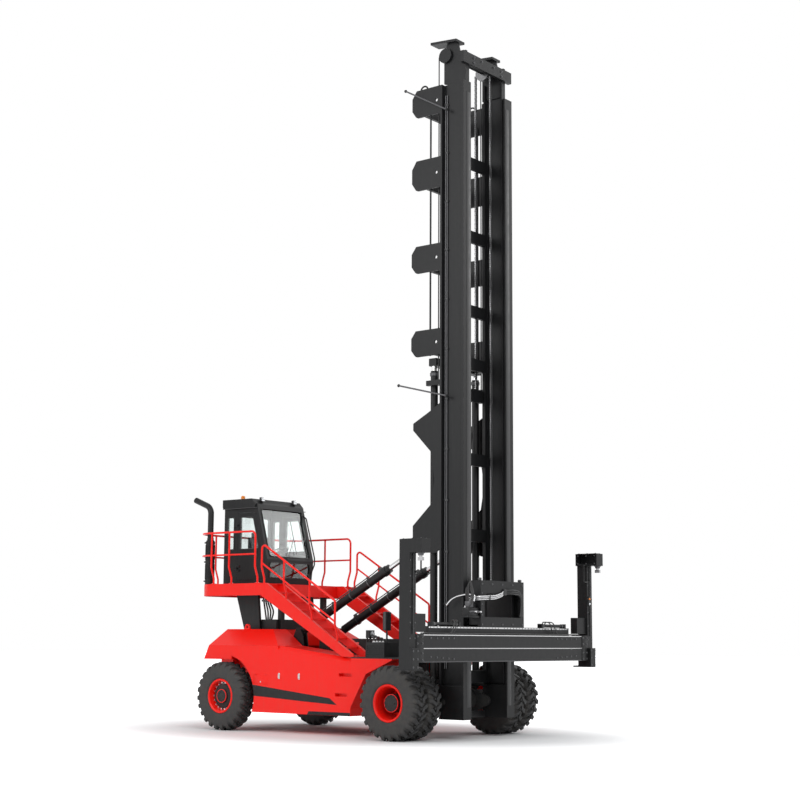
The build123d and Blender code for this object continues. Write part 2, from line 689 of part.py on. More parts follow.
string_outline = [(stair_top_x, platform_z), (stair_top_x, platform_z - platform_band), (stair_foot_x - string_flange, stair_foot_z),
                  (stair_foot_x + stair_foot, stair_foot_z), (string_end.X, string_end.Z), (string_top.X, string_top.Z)]
with BuildPart() as stairs:
    for name, side in SIDES:
        for edge, inward in ((stair_inner, 1), (stair_outer, -1)):
            side_plate(string_outline, side * edge, side * (edge + inward * string_wall))
            side_plate([(stair_top_x, platform_z), (string_top.X, string_top.Z), (string_end.X, string_end.Z),
                        (string_end.X, string_end.Z - string_wall), (string_top.X, string_top.Z - string_wall),
                        (stair_top_x, platform_z - string_wall)], side * edge, side * (edge + inward * string_flange))
            block(stair_foot_x + stair_foot - string_flange, body_front + string_flange, side * edge, side * (edge + inward * string_wall),
                  deck_z + seat_gap, string_end.Z)
        for step in range(1, step_count + 1):
            share = step / (step_count + 1)
            tread_x = stair_top_x + tread_setback + share * (stair_foot_x - stair_top_x)
            tread_z = platform_z + share * (stair_foot_z - platform_z)
            block(tread_x - tread_depth / 2, tread_x + tread_depth / 2, side * stair_inner, side * stair_outer, tread_z - tread_wall, tread_z)
save(stairs, "stairs")

# Handrails: the posts stand inside the platform's edge and bend outward below the middle rail
post_inset = 40
post_out = 40
bend_low = 120
bend_high = 340
top_rail_z = platform_z + rail_height
mid_rail_share = 0.56
mid_rail_z = platform_z + mid_rail_share * rail_height
rail_half = platform_half + post_out
rail_front_offset = 130
rail_front = platform_front - rail_front_offset
rail_rear = platform_rear - post_out
post_bend = 70
plan_bend = corner_radius + post_out
side_post_shares = (0.58, 0.29)
rear_post_y = 860
end_bend = 110


def post_points(x, side, base_z):
    """Lower part of a post beside a walkway: straight up from its base, then outward."""
    return [(x, side * (body_half - post_inset), base_z), (x, side * (body_half - post_inset), base_z + bend_low),
            (x, side * rail_half, base_z + bend_high)]


with BuildPart() as handrails:
    for level, front, radius in ((top_rail_z, rail_front - 2 * end_bend, rail_radius), (mid_rail_z, rail_front, mid_rail_radius)):
        tube_run([(front, -rail_half, level), (rail_rear, -rail_half, level), (rail_rear, rail_half, level), (front, rail_half, level)],
                 radius, plan_bend)
    for name, side in SIDES:
        tube_run([(rail_front - 2 * end_bend, side * rail_half, top_rail_z), (rail_front, side * rail_half, top_rail_z),
                  (rail_front, side * rail_half, mid_rail_z)], rail_radius, end_bend)
        tube_run(post_points(rail_front, side, platform_z + seat_gap) + [(rail_front, side * rail_half, mid_rail_z)], rail_radius, post_bend)
        for post_share in side_post_shares:
            post_x = rail_rear + post_share * (rail_front - rail_rear)
            tube_run(post_points(post_x, side, platform_z + seat_gap) + [(post_x, side * rail_half, top_rail_z)], stanchion_radius, post_bend)
        tube_run([(platform_rear + post_inset, side * rear_post_y, platform_z + seat_gap), (platform_rear + post_inset, side * rear_post_y, platform_z + bend_low),
                  (rail_rear, side * rear_post_y, platform_z + bend_high), (rail_rear, side * rear_post_y, top_rail_z)], stanchion_radius, post_bend)
save(handrails, "handrails")

# Stair rails: two sloped rails on four bent posts, the lowest post bent from the top rail itself
stair_rail_top = 800
stair_rail_mid = 400
stair_rail_x_offset = 60
stair_rail_x = stair_top_x + stair_rail_x_offset
stair_rail_end_offset = 220
stair_rail_end = stair_foot_x - stair_rail_end_offset
stair_rail_end_z_offset = 1070
stair_rail_end_z = deck_z + stair_rail_end_z_offset
post_shares = (0.31, 0.66)
with BuildPart() as stair_rails:
    for name, side in SIDES:
        rail_y = side * rail_half
        slope = (platform_z + stair_rail_top - stair_rail_end_z) / (stair_rail_end - stair_rail_x)
        first_post = post_points(stair_rail_x, side, string_high(stair_rail_x) - rail_radius)
        last_post = post_points(stair_rail_end, side, string_high(stair_rail_end) - rail_radius)
        tube_run(first_post + [(stair_rail_x, rail_y, platform_z + stair_rail_top), (stair_rail_end, rail_y, stair_rail_end_z)]
                 + last_post[::-1], rail_radius, post_bend)
        bar((stair_rail_x, rail_y, platform_z + stair_rail_mid), (stair_rail_end, rail_y, stair_rail_end_z - stair_rail_mid),
            mid_rail_radius)
        for share in post_shares:
            post_x = stair_rail_x + share * (stair_rail_end - stair_rail_x)
            top_z = platform_z + stair_rail_top - share * (stair_rail_end - stair_rail_x) * slope
            tube_run(post_points(post_x, side, string_high(post_x) - rail_radius) + [(post_x, rail_y, top_z)], stanchion_radius, post_bend)
        side_plate([(stair_top_x, platform_z + seat_gap), (string_top.X, string_top.Z + seat_gap), (string_end.X, string_end.Z + seat_gap),
                    (string_end.X, string_end.Z - platform_band), (stair_top_x, platform_z - platform_band)],
                   side * (body_half - 2 * post_inset), side * (body_half + post_inset), mode=Mode.SUBTRACT)
save(stair_rails, "stair_rails")

# Cab shell: sides, leaning front, roof slab and floor, with openings for windscreen, front, rear and quarter windows
door_rear_offset = 390
door_rear = cab_rear + door_rear_offset
roof_run = 140
waist_bar = 60
brow_bar = 90
sill_bar = 60
rear_window_low_offset = 50
rear_window_low = cab_waist_z + rear_window_low_offset
rear_window_high_offset = 200
rear_window_high = cab_brow_z - rear_window_high_offset
side_window_low = 3700
side_window_high = 4380
quarter_pillar = 60
roof_low = 4560
roof_lip = 35
roof_nose = 60
roof_radius = 60
hinge_y_offset = 16
hinge_y = cab_half + hinge_y_offset
hinge_radius = 15
hinge_pin_radius = 8
hinge_lug = 40
hinge_strap = 80
hinge_level_shares = (0.195, 0.70)
hinge_levels = [cab_floor_z + level_share * (cab_roof_z - cab_floor_z) for level_share in hinge_level_shares]
pane_wall = 8
grab_out = 70
grab_radius = 14
grab_y = cab_half - cab_wall
grab_low_share = 0.12
grab_high_share = 0.86


def front_face(z):
    """X of the cab's front face at a height."""
    if z < cab_waist_z:
        return cab_base_front + (z - cab_floor_z) / (cab_waist_z - cab_floor_z) * (cab_waist_front - cab_base_front)
    return cab_waist_front + (z - cab_waist_z) / (cab_brow_z - cab_waist_z) * (cab_brow_front - cab_waist_front)


cab_outline = [(cab_rear, cab_floor_z), (cab_base_front, cab_floor_z), (cab_waist_front, cab_waist_z), (cab_brow_front, cab_brow_z),
               (cab_brow_front - roof_run, cab_roof_z), (cab_rear, cab_roof_z)]
cab_room = [(cab_rear + cab_wall, cab_floor_z + cab_wall), (cab_base_front - cab_wall, cab_floor_z + cab_wall),
            (cab_waist_front - cab_wall, cab_waist_z), (cab_brow_front - cab_wall, cab_brow_z - cab_wall),
            (cab_brow_front - roof_run - cab_wall, cab_roof_z - 2 * cab_wall), (cab_rear + cab_wall, cab_roof_z - 2 * cab_wall)]
door_outline = [(door_rear, cab_floor_z + cab_pillar), (cab_base_front - cab_pillar, cab_floor_z + cab_pillar),
                (cab_waist_front - cab_pillar, cab_waist_z), (front_face(side_window_high + cab_pillar) - cab_pillar, side_window_high + cab_pillar),
                (door_rear, side_window_high + cab_pillar)]
front_windows = ((cab_floor_z + cab_pillar + sill_bar, cab_waist_z - waist_bar), (cab_waist_z + waist_bar, cab_brow_z - brow_bar))
window_half = cab_half - cab_pillar
quarter_rear = cab_rear + quarter_pillar + cab_wall
quarter_front = door_rear - quarter_pillar - hinge_strap / 2
with BuildPart() as cab_shell:
    side_plate(cab_outline, -cab_half, cab_half)
    side_plate(cab_room, -cab_half + cab_wall, cab_half - cab_wall, mode=Mode.SUBTRACT)
    rounded_plate([(cab_rear - roof_lip, roof_low), (cab_brow_front + roof_nose, roof_low), (cab_brow_front - roof_run, cab_roof_z + cab_wall / 2),
                   (cab_rear - roof_lip, cab_roof_z + cab_wall / 2)], roof_radius, (2, 3), -cab_half - roof_lip, cab_half + roof_lip)
    side_plate(cab_room, -cab_half + cab_wall, cab_half - cab_wall, mode=Mode.SUBTRACT)
    side_plate(door_outline, -cab_half - overrun, cab_half + overrun, mode=Mode.SUBTRACT)
    for low, high in front_windows:
        block(front_face(high) - 2 * cab_wall, max(front_face(low), cab_waist_front) + overrun, -window_half, window_half, low, high, mode=Mode.SUBTRACT)
    block(cab_rear - overrun, cab_rear + cab_wall + overrun, -window_half, window_half, rear_window_low, rear_window_high, mode=Mode.SUBTRACT)
    block(quarter_rear, quarter_front, -cab_half - overrun, cab_half + overrun, side_window_low, side_window_high, mode=Mode.SUBTRACT)
    for name, side in SIDES:
        for level in hinge_levels:
            block(door_rear - hinge_strap, door_rear, side * (cab_half - cab_wall / 2), side * (hinge_y + hinge_radius),
                  level - hinge_lug / 2, level + hinge_lug / 2)
            bar((door_rear, side * hinge_y, level - hinge_lug / 2), (door_rear, side * hinge_y, level + hinge_lug / 2), hinge_radius)
            block(door_rear + seat_gap, door_rear + 2 * hinge_radius, side * (cab_half - cab_wall), side * (hinge_y - hinge_radius / 2),
                  level - hinge_lug / 2, level + hinge_lug / 2, mode=Mode.SUBTRACT)
            bar((door_rear, side * hinge_y, level - hinge_lug), (door_rear, side * hinge_y, level + hinge_lug),
                hinge_pin_radius + pivot_play, mode=Mode.SUBTRACT)
    grab_low = cab_floor_z + grab_low_share * (cab_brow_z - cab_floor_z)
    grab_high = cab_floor_z + grab_high_share * (cab_brow_z - cab_floor_z)
    tube_run([(front_face(grab_low) - cab_wall / 2, grab_y, grab_low), (front_face(cab_waist_z) + grab_out, grab_y, cab_waist_z - grab_out),
              (front_face(cab_waist_z) + grab_out, grab_y, cab_waist_z + grab_out), (front_face(grab_high) + grab_out, grab_y, grab_high),
              (front_face(grab_high) - cab_wall / 2, grab_y, grab_high + grab_out)], grab_radius, 3 * grab_radius)
save(cab_shell, "cab_shell")

# Panes of the windscreen, the front window below it, the rear window and the quarter windows, each inside its opening
with BuildPart() as cab_glass:
    for low, high in front_windows:
        pane_low = low + seat_gap
        pane_high = high - seat_gap
        inner = cab_wall / 2 + pane_wall / 2
        side_plate([(front_face(pane_low) - inner, pane_low), (front_face(pane_low) - inner + pane_wall, pane_low),
                    (front_face(pane_high) - inner + pane_wall, pane_high), (front_face(pane_high) - inner, pane_high)],
                   -window_half + seat_gap, window_half - seat_gap)
    block(cab_rear + cab_wall / 2, cab_rear + cab_wall / 2 + pane_wall, -window_half + seat_gap, window_half - seat_gap,
          rear_window_low + seat_gap, rear_window_high - seat_gap)
    for name, side in SIDES:
        block(quarter_rear + seat_gap, quarter_front - seat_gap, side * (cab_half - cab_wall / 2 - pane_wall), side * (cab_half - cab_wall / 2),
              side_window_low + seat_gap, side_window_high - seat_gap)
save(cab_glass, "cab_glass")

# Cab doors: framed leaves hinged at the rear pillar, with a pane and a pull handle
door_gap = 6
handle_inset = 180
handle_low_offset = 560
handle_low = cab_floor_z + handle_low_offset
handle_high_offset = 700
handle_high = cab_floor_z + handle_high_offset
handle_stand = 40
handle_radius = 10
door_window = [(door_rear + cab_pillar, side_window_low), (front_face(side_window_low) - 2 * cab_pillar, side_window_low),
               (front_face(side_window_high) - 2 * cab_pillar, side_window_high), (door_rear + cab_pillar, side_window_high)]
for name, side in SIDES:
    leaf_at = Plane.XZ.offset(-min(side * (cab_half - cab_wall), side * cab_half))
    with BuildPart() as door:
        with BuildSketch(leaf_at) as leaf_face:
            with BuildLine():
                Polyline(*door_outline, close=True)
            make_face()
            offset(amount=-door_gap, kind=Kind.INTERSECTION)
        extrude(leaf_face.sketch, amount=-cab_wall)
        side_plate(door_window, side * (cab_half - cab_wall - overrun), side * (cab_half + overrun), mode=Mode.SUBTRACT)
        for level in hinge_levels:
            for knuckle_low in (level - hinge_lug / 2 - hinge_lug - seat_gap, level + hinge_lug / 2 + seat_gap):
                bar((door_rear, side * hinge_y, knuckle_low), (door_rear, side * hinge_y, knuckle_low + hinge_lug), hinge_radius)
                block(door_rear, door_rear + hinge_strap, side * (cab_half - cab_wall / 2), side * (hinge_y + hinge_radius / 2),
                      knuckle_low, knuckle_low + hinge_lug)
                block(door_rear - hinge_radius, door_rear + door_gap, side * (cab_half - cab_wall), side * (cab_half + seat_gap),
                      knuckle_low, knuckle_low + hinge_lug, mode=Mode.SUBTRACT)
            bar((door_rear, side * hinge_y, level - hinge_lug), (door_rear, side * hinge_y, level + hinge_lug), hinge_pin_radius)
        handle_x = cab_base_front - cab_pillar - handle_inset
        tube_run([(handle_x, side * (cab_half - handle_radius), handle_low), (handle_x, side * (cab_half + handle_stand), handle_low),
                  (handle_x, side * (cab_half + handle_stand), handle_high), (handle_x, side * (cab_half - handle_radius), handle_high)],
                 handle_radius, 2 * handle_radius)
    save(door, f"cab_door_{name}")
    with BuildPart() as door_glass:
        with BuildSketch(Plane.XZ.offset(-min(side * (cab_half - cab_wall / 2), side * (cab_half - cab_wall / 2 - pane_wall)))) as pane:
            with BuildLine():
                Polyline(*door_window, close=True)
            make_face()
            offset(amount=-seat_gap, kind=Kind.INTERSECTION)
        extrude(pane.sketch, amount=-pane_wall)
    save(door_glass, f"door_glass_{name}")

# Seat with arm consoles, and the steering column with its wheel
seat_x_offset = 540
seat_x = cab_rear + seat_x_offset
seat_half = 240
seat_low = cab_floor_z + cab_wall + seat_gap
seat_high_offset = 550
seat_high = cab_floor_z + seat_high_offset
cushion = 110
seat_length = 460
back_wall = 110
back_top_offset = 1150
back_top = cab_floor_z + back_top_offset
console_half = 330
console_high_offset = 160
console_high = seat_high + console_high_offset
column_x_offset = 250
column_x = cab_waist_front - column_x_offset
column_radius = 35
column_foot_half = 90
column_high_offset = 720
column_high = cab_floor_z + column_high_offset
wheel_radius = 190
wheel_rim_radius = 14
wheel_lean = 25
with BuildPart() as cab_interior:
    block(seat_x - seat_half * 0.6, seat_x + seat_half * 0.6, -seat_half * 0.7, seat_half * 0.7, seat_low, seat_high - cushion)
    rounded_plate([(seat_x - seat_length / 2, seat_high - cushion), (seat_x + seat_length / 2, seat_high - cushion),
                   (seat_x + seat_length / 2, seat_high), (seat_x - seat_length / 2, seat_high)], cushion / 3, (2,), -seat_half, seat_half)
    rounded_plate([(seat_x - seat_length / 2 - back_wall / 2, seat_high - cushion), (seat_x - seat_length / 2 + back_wall / 2, seat_high - cushion),
                   (seat_x - seat_length / 2, back_top), (seat_x - seat_length / 2 - back_wall, back_top)], back_wall / 3, (2, 3), -seat_half, seat_half)
    for name, side in SIDES:
        block(seat_x - seat_half, seat_x + seat_half, side * (seat_half - overrun), side * console_half, seat_high - cushion / 2, console_high)
    block(column_x - column_foot_half, column_x + column_foot_half, -column_foot_half, column_foot_half, seat_low, seat_low + 2 * column_foot_half)
    bar((column_x, 0, seat_low + column_foot_half), (column_x - column_foot_half, 0, column_high), column_radius)
    with Locations(Location((column_x - column_foot_half, 0, column_high), (0, -wheel_lean, 0))):
        Torus(wheel_radius, wheel_rim_radius)
        Box(2 * wheel_radius, 2 * column_radius, wheel_rim_radius)
save(cab_interior, "cab_interior")

# Warning lamp on the roof
beacon_x_offset = 240
beacon_x = cab_rear + beacon_x_offset
beacon_y = -420
beacon_radius = 45
beacon_height = 110
beacon_base = 25
with BuildPart() as beacon:
    bar((beacon_x, beacon_y, cab_roof_z + cab_wall / 2 + seat_gap), (beacon_x, beacon_y, cab_roof_z + cab_wall / 2 + beacon_base), beacon_radius * 1.3)
    bar((beacon_x, beacon_y, cab_roof_z + cab_wall / 2 + beacon_base), (beacon_x, beacon_y, cab_roof_z + cab_wall / 2 + beacon_height), beacon_radius)
save(beacon, "beacon")

# Exhaust stack: silencer on the platform, then a pipe that bends to the rear
exhaust_x_offset = 180
exhaust_x = platform_rear + exhaust_x_offset
exhaust_y = -1250
silencer_radius = 95
silencer_top_offset = 900
silencer_top = platform_z + silencer_top_offset
pipe_radius = 62
pipe_bend_z = 4560
pipe_tip_x_offset = 280
pipe_tip_x = platform_rear - pipe_tip_x_offset
pipe_tip_z = 4740
pipe_wall = 4
pipe_depth = 200
with BuildPart() as exhaust:
    bar((exhaust_x, exhaust_y, platform_z + seat_gap), (exhaust_x, exhaust_y, silencer_top), silencer_radius)
    tube_run([(exhaust_x, exhaust_y, silencer_top), (exhaust_x, exhaust_y, pipe_bend_z), (pipe_tip_x, exhaust_y, pipe_tip_z)],
             pipe_radius, 3 * pipe_radius)
    tip = Vector(pipe_tip_x, exhaust_y, pipe_tip_z)
    pipe_run = (tip - Vector(exhaust_x, exhaust_y, pipe_bend_z)).normalized()
    bar(tuple(tip - pipe_run * pipe_depth), tuple(tip + pipe_run), pipe_radius - pipe_wall, mode=Mode.SUBTRACT)
save(exhaust, "exhaust")

# Outer mast: channel rails with two rear plates between C-shaped brackets, cross ties, feet and the tilt cylinders' ears
outer_flange = 250
flange_wall = 45
web_wall = 40
web_half = 730
foot_height = 620
plate_inner_offset = 30
plate_inner = mast_half - plate_inner_offset
bracket_rear_x = -400
bracket_taper = 110
bracket_tip_share = 0.27
bracket_radius = 90
bracket_shares = ((0.9552, 1.0), (0.8365, 0.8852), (0.7044, 0.7476), (0.5731, 0.6140))
bracket_levels = [(low_share * outer_top, high_share * outer_top) for low_share, high_share in bracket_shares]
bracket_tie = 60
bracket_tie_inset = 160
gusset_low = 3420
gusset_high = 6350
gusset_neck_x = 47
gusset_neck_z = 6187
gusset_rear_x = -340
gusset_tip_high = 5985
gusset_tip_low = 5850
gusset_throat_x = 100
gusset_throat_high = 5400
gusset_waist_x = 180
gusset_waist_z = 4860
gusset_throat_low = 4400
ear_plate_high = 4000
ear_plate_low = 3620
ear_plate_foot_x = -200
ear_plate_foot_z = 3560
gusset_points = [(mast_rear + overrun, gusset_low), (mast_rear + overrun, gusset_high), (gusset_neck_x, gusset_neck_z),
                 (gusset_rear_x, gusset_tip_high), (gusset_rear_x, gusset_tip_low), (gusset_throat_x, gusset_throat_high),
                 (gusset_waist_x, gusset_waist_z), (gusset_throat_x, gusset_throat_low), (gusset_rear_x, ear_plate_high),
                 (gusset_rear_x, ear_plate_low), (ear_plate_foot_x, ear_plate_foot_z)]
gusset_radius = 160
ear_block_high_offset = 230
ear_block_high = tilt_eye_z + ear_block_high_offset
ear_block_low_offset = 130
ear_block_low = tilt_eye_z + ear_block_low_offset
gusset_tie_high = gusset_tip_high - overrun
gusset_tie = 100
outer_tie_low = 6500
outer_tie_high = 6750
outer_tie_wall = 80
outer_tie_lap = 40
foot_tie = 130
seat_plate = 60
lift_bracket_low = 6700
lift_bracket = 100
lift_seat_half = 90
bolt_hole = 32
pipe_x = 40
pipe_run_radius = 18
pipe_run_y = plate_inner - pipe_run_radius / 2
hose_x = 182
hose_y = 711
hose_radius = 12
hose_anchor_half = 32
with BuildPart() as outer_mast:
    for name, side in SIDES:
        for flange_x in (mast_rear, mast_front - flange_wall):
            block(flange_x, flange_x + flange_wall, side * (mast_half - outer_flange), side * mast_half, mast_foot, outer_top)
        block(mast_rear, mast_front, side * (web_half - web_wall), side * web_half, mast_foot, outer_top)
        block(mast_rear, mast_front, side * (mast_half - outer_flange), side * mast_half, mast_foot, mast_foot + foot_height)
        disc(mast_pivot_x, mast_pivot_z, pivot_radius + pivot_play, side * (mast_half - outer_flange - overrun), side * (mast_half + overrun), mode=Mode.SUBTRACT)
        for low, high in bracket_levels:
            tip = bracket_tip_share * (high - low)
            rounded_plate([(mast_rear + overrun, low), (mast_rear + overrun, high), (bracket_rear_x + bracket_taper, high), (bracket_rear_x, high - tip),
                           (bracket_rear_x, low + tip), (bracket_rear_x + bracket_taper, low)], bracket_radius, (2, 3, 4, 5), side * plate_inner, side * mast_half)
            disc(mast_rear - 3 * bolt_hole, (low + high) / 2, bolt_hole, side * (plate_inner - overrun), side * (mast_half + overrun), mode=Mode.SUBTRACT)
        rounded_plate(gusset_points, gusset_radius, (5, 6, 7), side * plate_inner, side * mast_half)
        for ear in (tilt_ear_inner - tilt_ear_wall, tilt_ear_outer):
            side_plate([(tilt_eye_x - tilt_eye_radius, tilt_eye_z - tilt_eye_radius / 3), (tilt_eye_x - tilt_eye_radius / 2, tilt_eye_z - tilt_eye_radius),
                        (tilt_eye_x + tilt_eye_radius / 2, tilt_eye_z - tilt_eye_radius), (tilt_eye_x + tilt_eye_radius, tilt_eye_z - tilt_eye_radius / 3),
                        (tilt_eye_x + tilt_eye_radius, ear_block_high), (tilt_eye_x - tilt_eye_radius, ear_block_high)],
                       side * ear, side * (ear + tilt_ear_wall))
        disc(tilt_eye_x, tilt_eye_z, tilt_pin_radius, side * (tilt_ear_inner - tilt_ear_wall), side * mast_half)
        block(lift_x - lift_seat_half, mast_rear + overrun, side * (lift_half - lift_seat_half), side * (lift_half + lift_seat_half),
              lift_foot - seat_plate, lift_foot)
        block(lift_x - lift_seat_half, mast_rear + overrun, side * (lift_half + lift_barrel_radius + seat_gap), side * mast_half,
              lift_bracket_low, lift_bracket_low + lift_bracket)
        block(hose_x - hose_anchor_half, hose_x + hose_anchor_half, side * (hose_y - hose_anchor_half), side * plate_inner,
              lift_bracket_low, lift_bracket_low + lift_bracket)
        bar((pipe_x, side * pipe_run_y, bracket_levels[-1][0]), (pipe_x, side * pipe_run_y, bracket_levels[0][0] + bracket_tie_inset), pipe_run_radius)
    for low, high in bracket_levels:
        block(bracket_rear_x, bracket_rear_x + bracket_tie, -mast_half, mast_half, low + bracket_tie_inset, high - bracket_tie_inset)
    block(tilt_eye_x - 1.6 * tilt_eye_radius, tilt_eye_x + tilt_eye_radius, -mast_half, mast_half, ear_block_low, ear_block_high)
    block(gusset_rear_x, gusset_rear_x + bracket_tie, -mast_half, mast_half, gusset_tie_high - gusset_tie, gusset_tie_high)
    block(mast_rear, mast_rear + flange_wall, -mast_half, mast_half, mast_foot, mast_foot + foot_tie)
    block(mast_rear - outer_tie_wall, mast_rear, -mast_half + outer_flange - outer_tie_lap, mast_half - outer_flange + outer_tie_lap,
          outer_tie_low, outer_tie_high)
save(outer_mast, "outer_mast")

# Lift cylinders: barrels seated on the outer mast, rods under the inner mast's crosshead
barrel_floor = 80
rod_inset = 60
with BuildPart() as lift_barrels:
    for name, side in SIDES:
        bar((lift_x, side * lift_half, lift_foot + seat_gap), (lift_x, side * lift_half, lift_top), lift_barrel_radius)
        bar((lift_x, side * lift_half, lift_foot + barrel_floor), (lift_x, side * lift_half, lift_top + overrun), lift_rod_radius + seat_gap, mode=Mode.SUBTRACT)
save(lift_barrels, "lift_barrels")

# Inner mast: channel rails inside the outer ones, ties between them, crosshead for the lift rods, top beam with the
# sheaves' shaft, and arms that carry the hose sheaves above
inner_width = 120
inner_wall = 30
mast_gap = 10
inner_rear = mast_rear + flange_wall + mast_gap
inner_front = mast_front - flange_wall - mast_gap
head_beam = 230
head_beam_half_offset = 5
head_beam_half = mast_half - head_beam_half_offset
tie_height = 240
tie_wall = 70
tie_half = inner_half - inner_width + running_gap / 2
sheave_x = 460
sheave_z_offset = 30
sheave_z = inner_top - sheave_z_offset
sheave_half = 400
sheave_radius = 165
sheave_width = 60
sheave_groove = 12
shaft_radius = 35
cross_top_shares = (0.8596, 0.7455, 0.6314, 0.4092, 0.2980)
cross_tops = [top_share * inner_top for top_share in cross_top_shares] + [inner_foot + tie_height, crosshead_z + tie_height]
crosshead_height = 150
crosshead_lap = 60
crosshead_half = lift_half + crosshead_lap

crosshead_rear_offset = 90
crosshead_rear = lift_x - crosshead_rear_offset
crosshead_front_offset = 90
crosshead_front = lift_x + crosshead_front_offset
strut_inner = 480
strut_outer = 570
head_plate_low_offset = 60
head_plate_low = outer_top + head_plate_low_offset
head_plate_high_offset = 60
head_plate_high = inner_top + head_plate_high_offset
arm_plate_high_offset = 280
arm_plate_high = inner_top + arm_plate_high_offset
hood_low_offset = 20
hood_low = arm_plate_high - hood_low_offset
hood_high_offset = 90
hood_high = arm_plate_high + hood_high_offset
hood_inner = 480
hood_outer = 760
hood_rear_x = 0
hood_front_x = 640
hood_slope = 60
hose_sheave_z_offset = 30
hose_sheave_z = inner_top + hose_sheave_z_offset
hose_sheave_radius = 150
hose_sheave_x = hose_x + hose_radius + hose_sheave_radius
hose_sheave_width = 50
hose_sheave_inner = hose_y - hose_sheave_width / 2
with BuildPart() as inner_mast:
    for name, side in SIDES:
        for flange_x in (inner_rear, inner_front - inner_wall):
            block(flange_x, flange_x + inner_wall, side * (inner_half - inner_width), side * inner_half, inner_foot, inner_top - head_beam)
        block(inner_rear, inner_front, side * (inner_half - inner_wall), side * inner_half, inner_foot, inner_top - head_beam)
        block(inner_rear - tie_wall, inner_front, side * (inner_half - 2 * inner_wall), side * inner_half, head_plate_low, head_plate_high)
        block(crosshead_front - overrun, inner_rear + inner_wall, side * strut_inner, side * strut_outer, crosshead_z, crosshead_z + crosshead_height + tie_wall)
        side_plate([(inner_rear - tie_wall, inner_top - overrun), (inner_front - 2 * tie_wall, inner_top - overrun), (inner_front - 3 * tie_wall, arm_plate_high),
                    (inner_rear, arm_plate_high)], side * (inner_half - 2 * inner_wall), side * inner_half)
        side_plate([(hood_rear_x, hood_low + hood_slope), (hood_front_x, hood_low), (hood_front_x, hood_high - hood_slope), (hood_rear_x, hood_high)],
                   side * hood_inner, side * hood_outer)
        disc(hose_sheave_x, hose_sheave_z, hose_sheave_radius, side * hose_sheave_inner, side * (hose_sheave_inner + hose_sheave_width))
        disc(hose_sheave_x, hose_sheave_z, shaft_radius, side * (inner_half - inner_wall), side * (hose_sheave_inner + hose_sheave_width))
    for top in cross_tops:
        block(inner_rear + inner_wall - tie_wall, inner_rear + inner_wall, -tie_half, tie_half, top - tie_height, top)
    block(crosshead_rear, crosshead_front, -crosshead_half, crosshead_half, crosshead_z, crosshead_z + crosshead_height)
    block(inner_front - inner_wall, mast_front, -head_beam_half, head_beam_half, inner_top - head_beam, inner_top)
    bar((sheave_x, -inner_half, sheave_z), (sheave_x, inner_half, sheave_z), shaft_radius)
save(inner_mast, "inner_mast")

with BuildPart() as lift_rods:
    for name, side in SIDES:
        bar((lift_x, side * lift_half, crosshead_z - lift_stroke - rod_inset), (lift_x, side * lift_half, crosshead_z - seat_gap), lift_rod_radius)
save(lift_rods, "lift_rods")

# Chain sheaves, turned with a groove between two rims
with BuildPart() as mast_sheaves:
    for name, side in SIDES:
        middle = side * sheave_half
        with BuildSketch(Plane.YZ.offset(sheave_x)) as section:
            with BuildLine():
                Polyline((middle - sheave_width / 2, sheave_z + shaft_radius + seat_gap), (middle + sheave_width / 2, sheave_z + shaft_radius + seat_gap),
                         (middle + sheave_width / 2, sheave_z + sheave_radius), (middle + sheave_width / 2 - sheave_groove / 2, sheave_z + sheave_radius),
                         (middle + sheave_width / 2 - sheave_groove, sheave_z + sheave_radius - sheave_groove), (middle - sheave_width / 2 + sheave_groove, sheave_z + sheave_radius - sheave_groove),
                         (middle - sheave_width / 2 + sheave_groove / 2, sheave_z + sheave_radius), (middle - sheave_width / 2, sheave_z + sheave_radius), close=True)
            make_face()
        revolve(section.sketch, axis=Axis((sheave_x, 0, sheave_z), (0, 1, 0)))
save(mast_sheaves, "mast_sheaves")

# Lift chains, as plain straps
chain_width = 50
chain_wall = 36
with BuildPart() as front_chains:
    for name, side in SIDES:
        strand_x = sheave_x + sheave_radius + seat_gap
        block(strand_x, strand_x + chain_wall, side * (sheave_half - chain_width / 2), side * (sheave_half + chain_width / 2),
              carriage_top + seat_gap, sheave_z)
save(front_chains, "front_chains")
with BuildPart() as rear_chains:
    for name, side in SIDES:
        strand_x = sheave_x - sheave_radius - seat_gap
        block(strand_x - chain_wall, strand_x, side * (sheave_half - chain_width / 2), side * (sheave_half + chain_width / 2),
              outer_tie_high + seat_gap, sheave_z)
save(rear_chains, "rear_chains")

# Hose strands behind the rails, from the outer mast's bracket up to the hose sheaves
with BuildPart() as mast_hoses:
    for name, side in SIDES:
        bar((hose_x, side * hose_y, lift_bracket_low + lift_bracket + seat_gap), (hose_x, side * hose_y, hose_sheave_z), hose_radius)
save(mast_hoses, "mast_hoses")

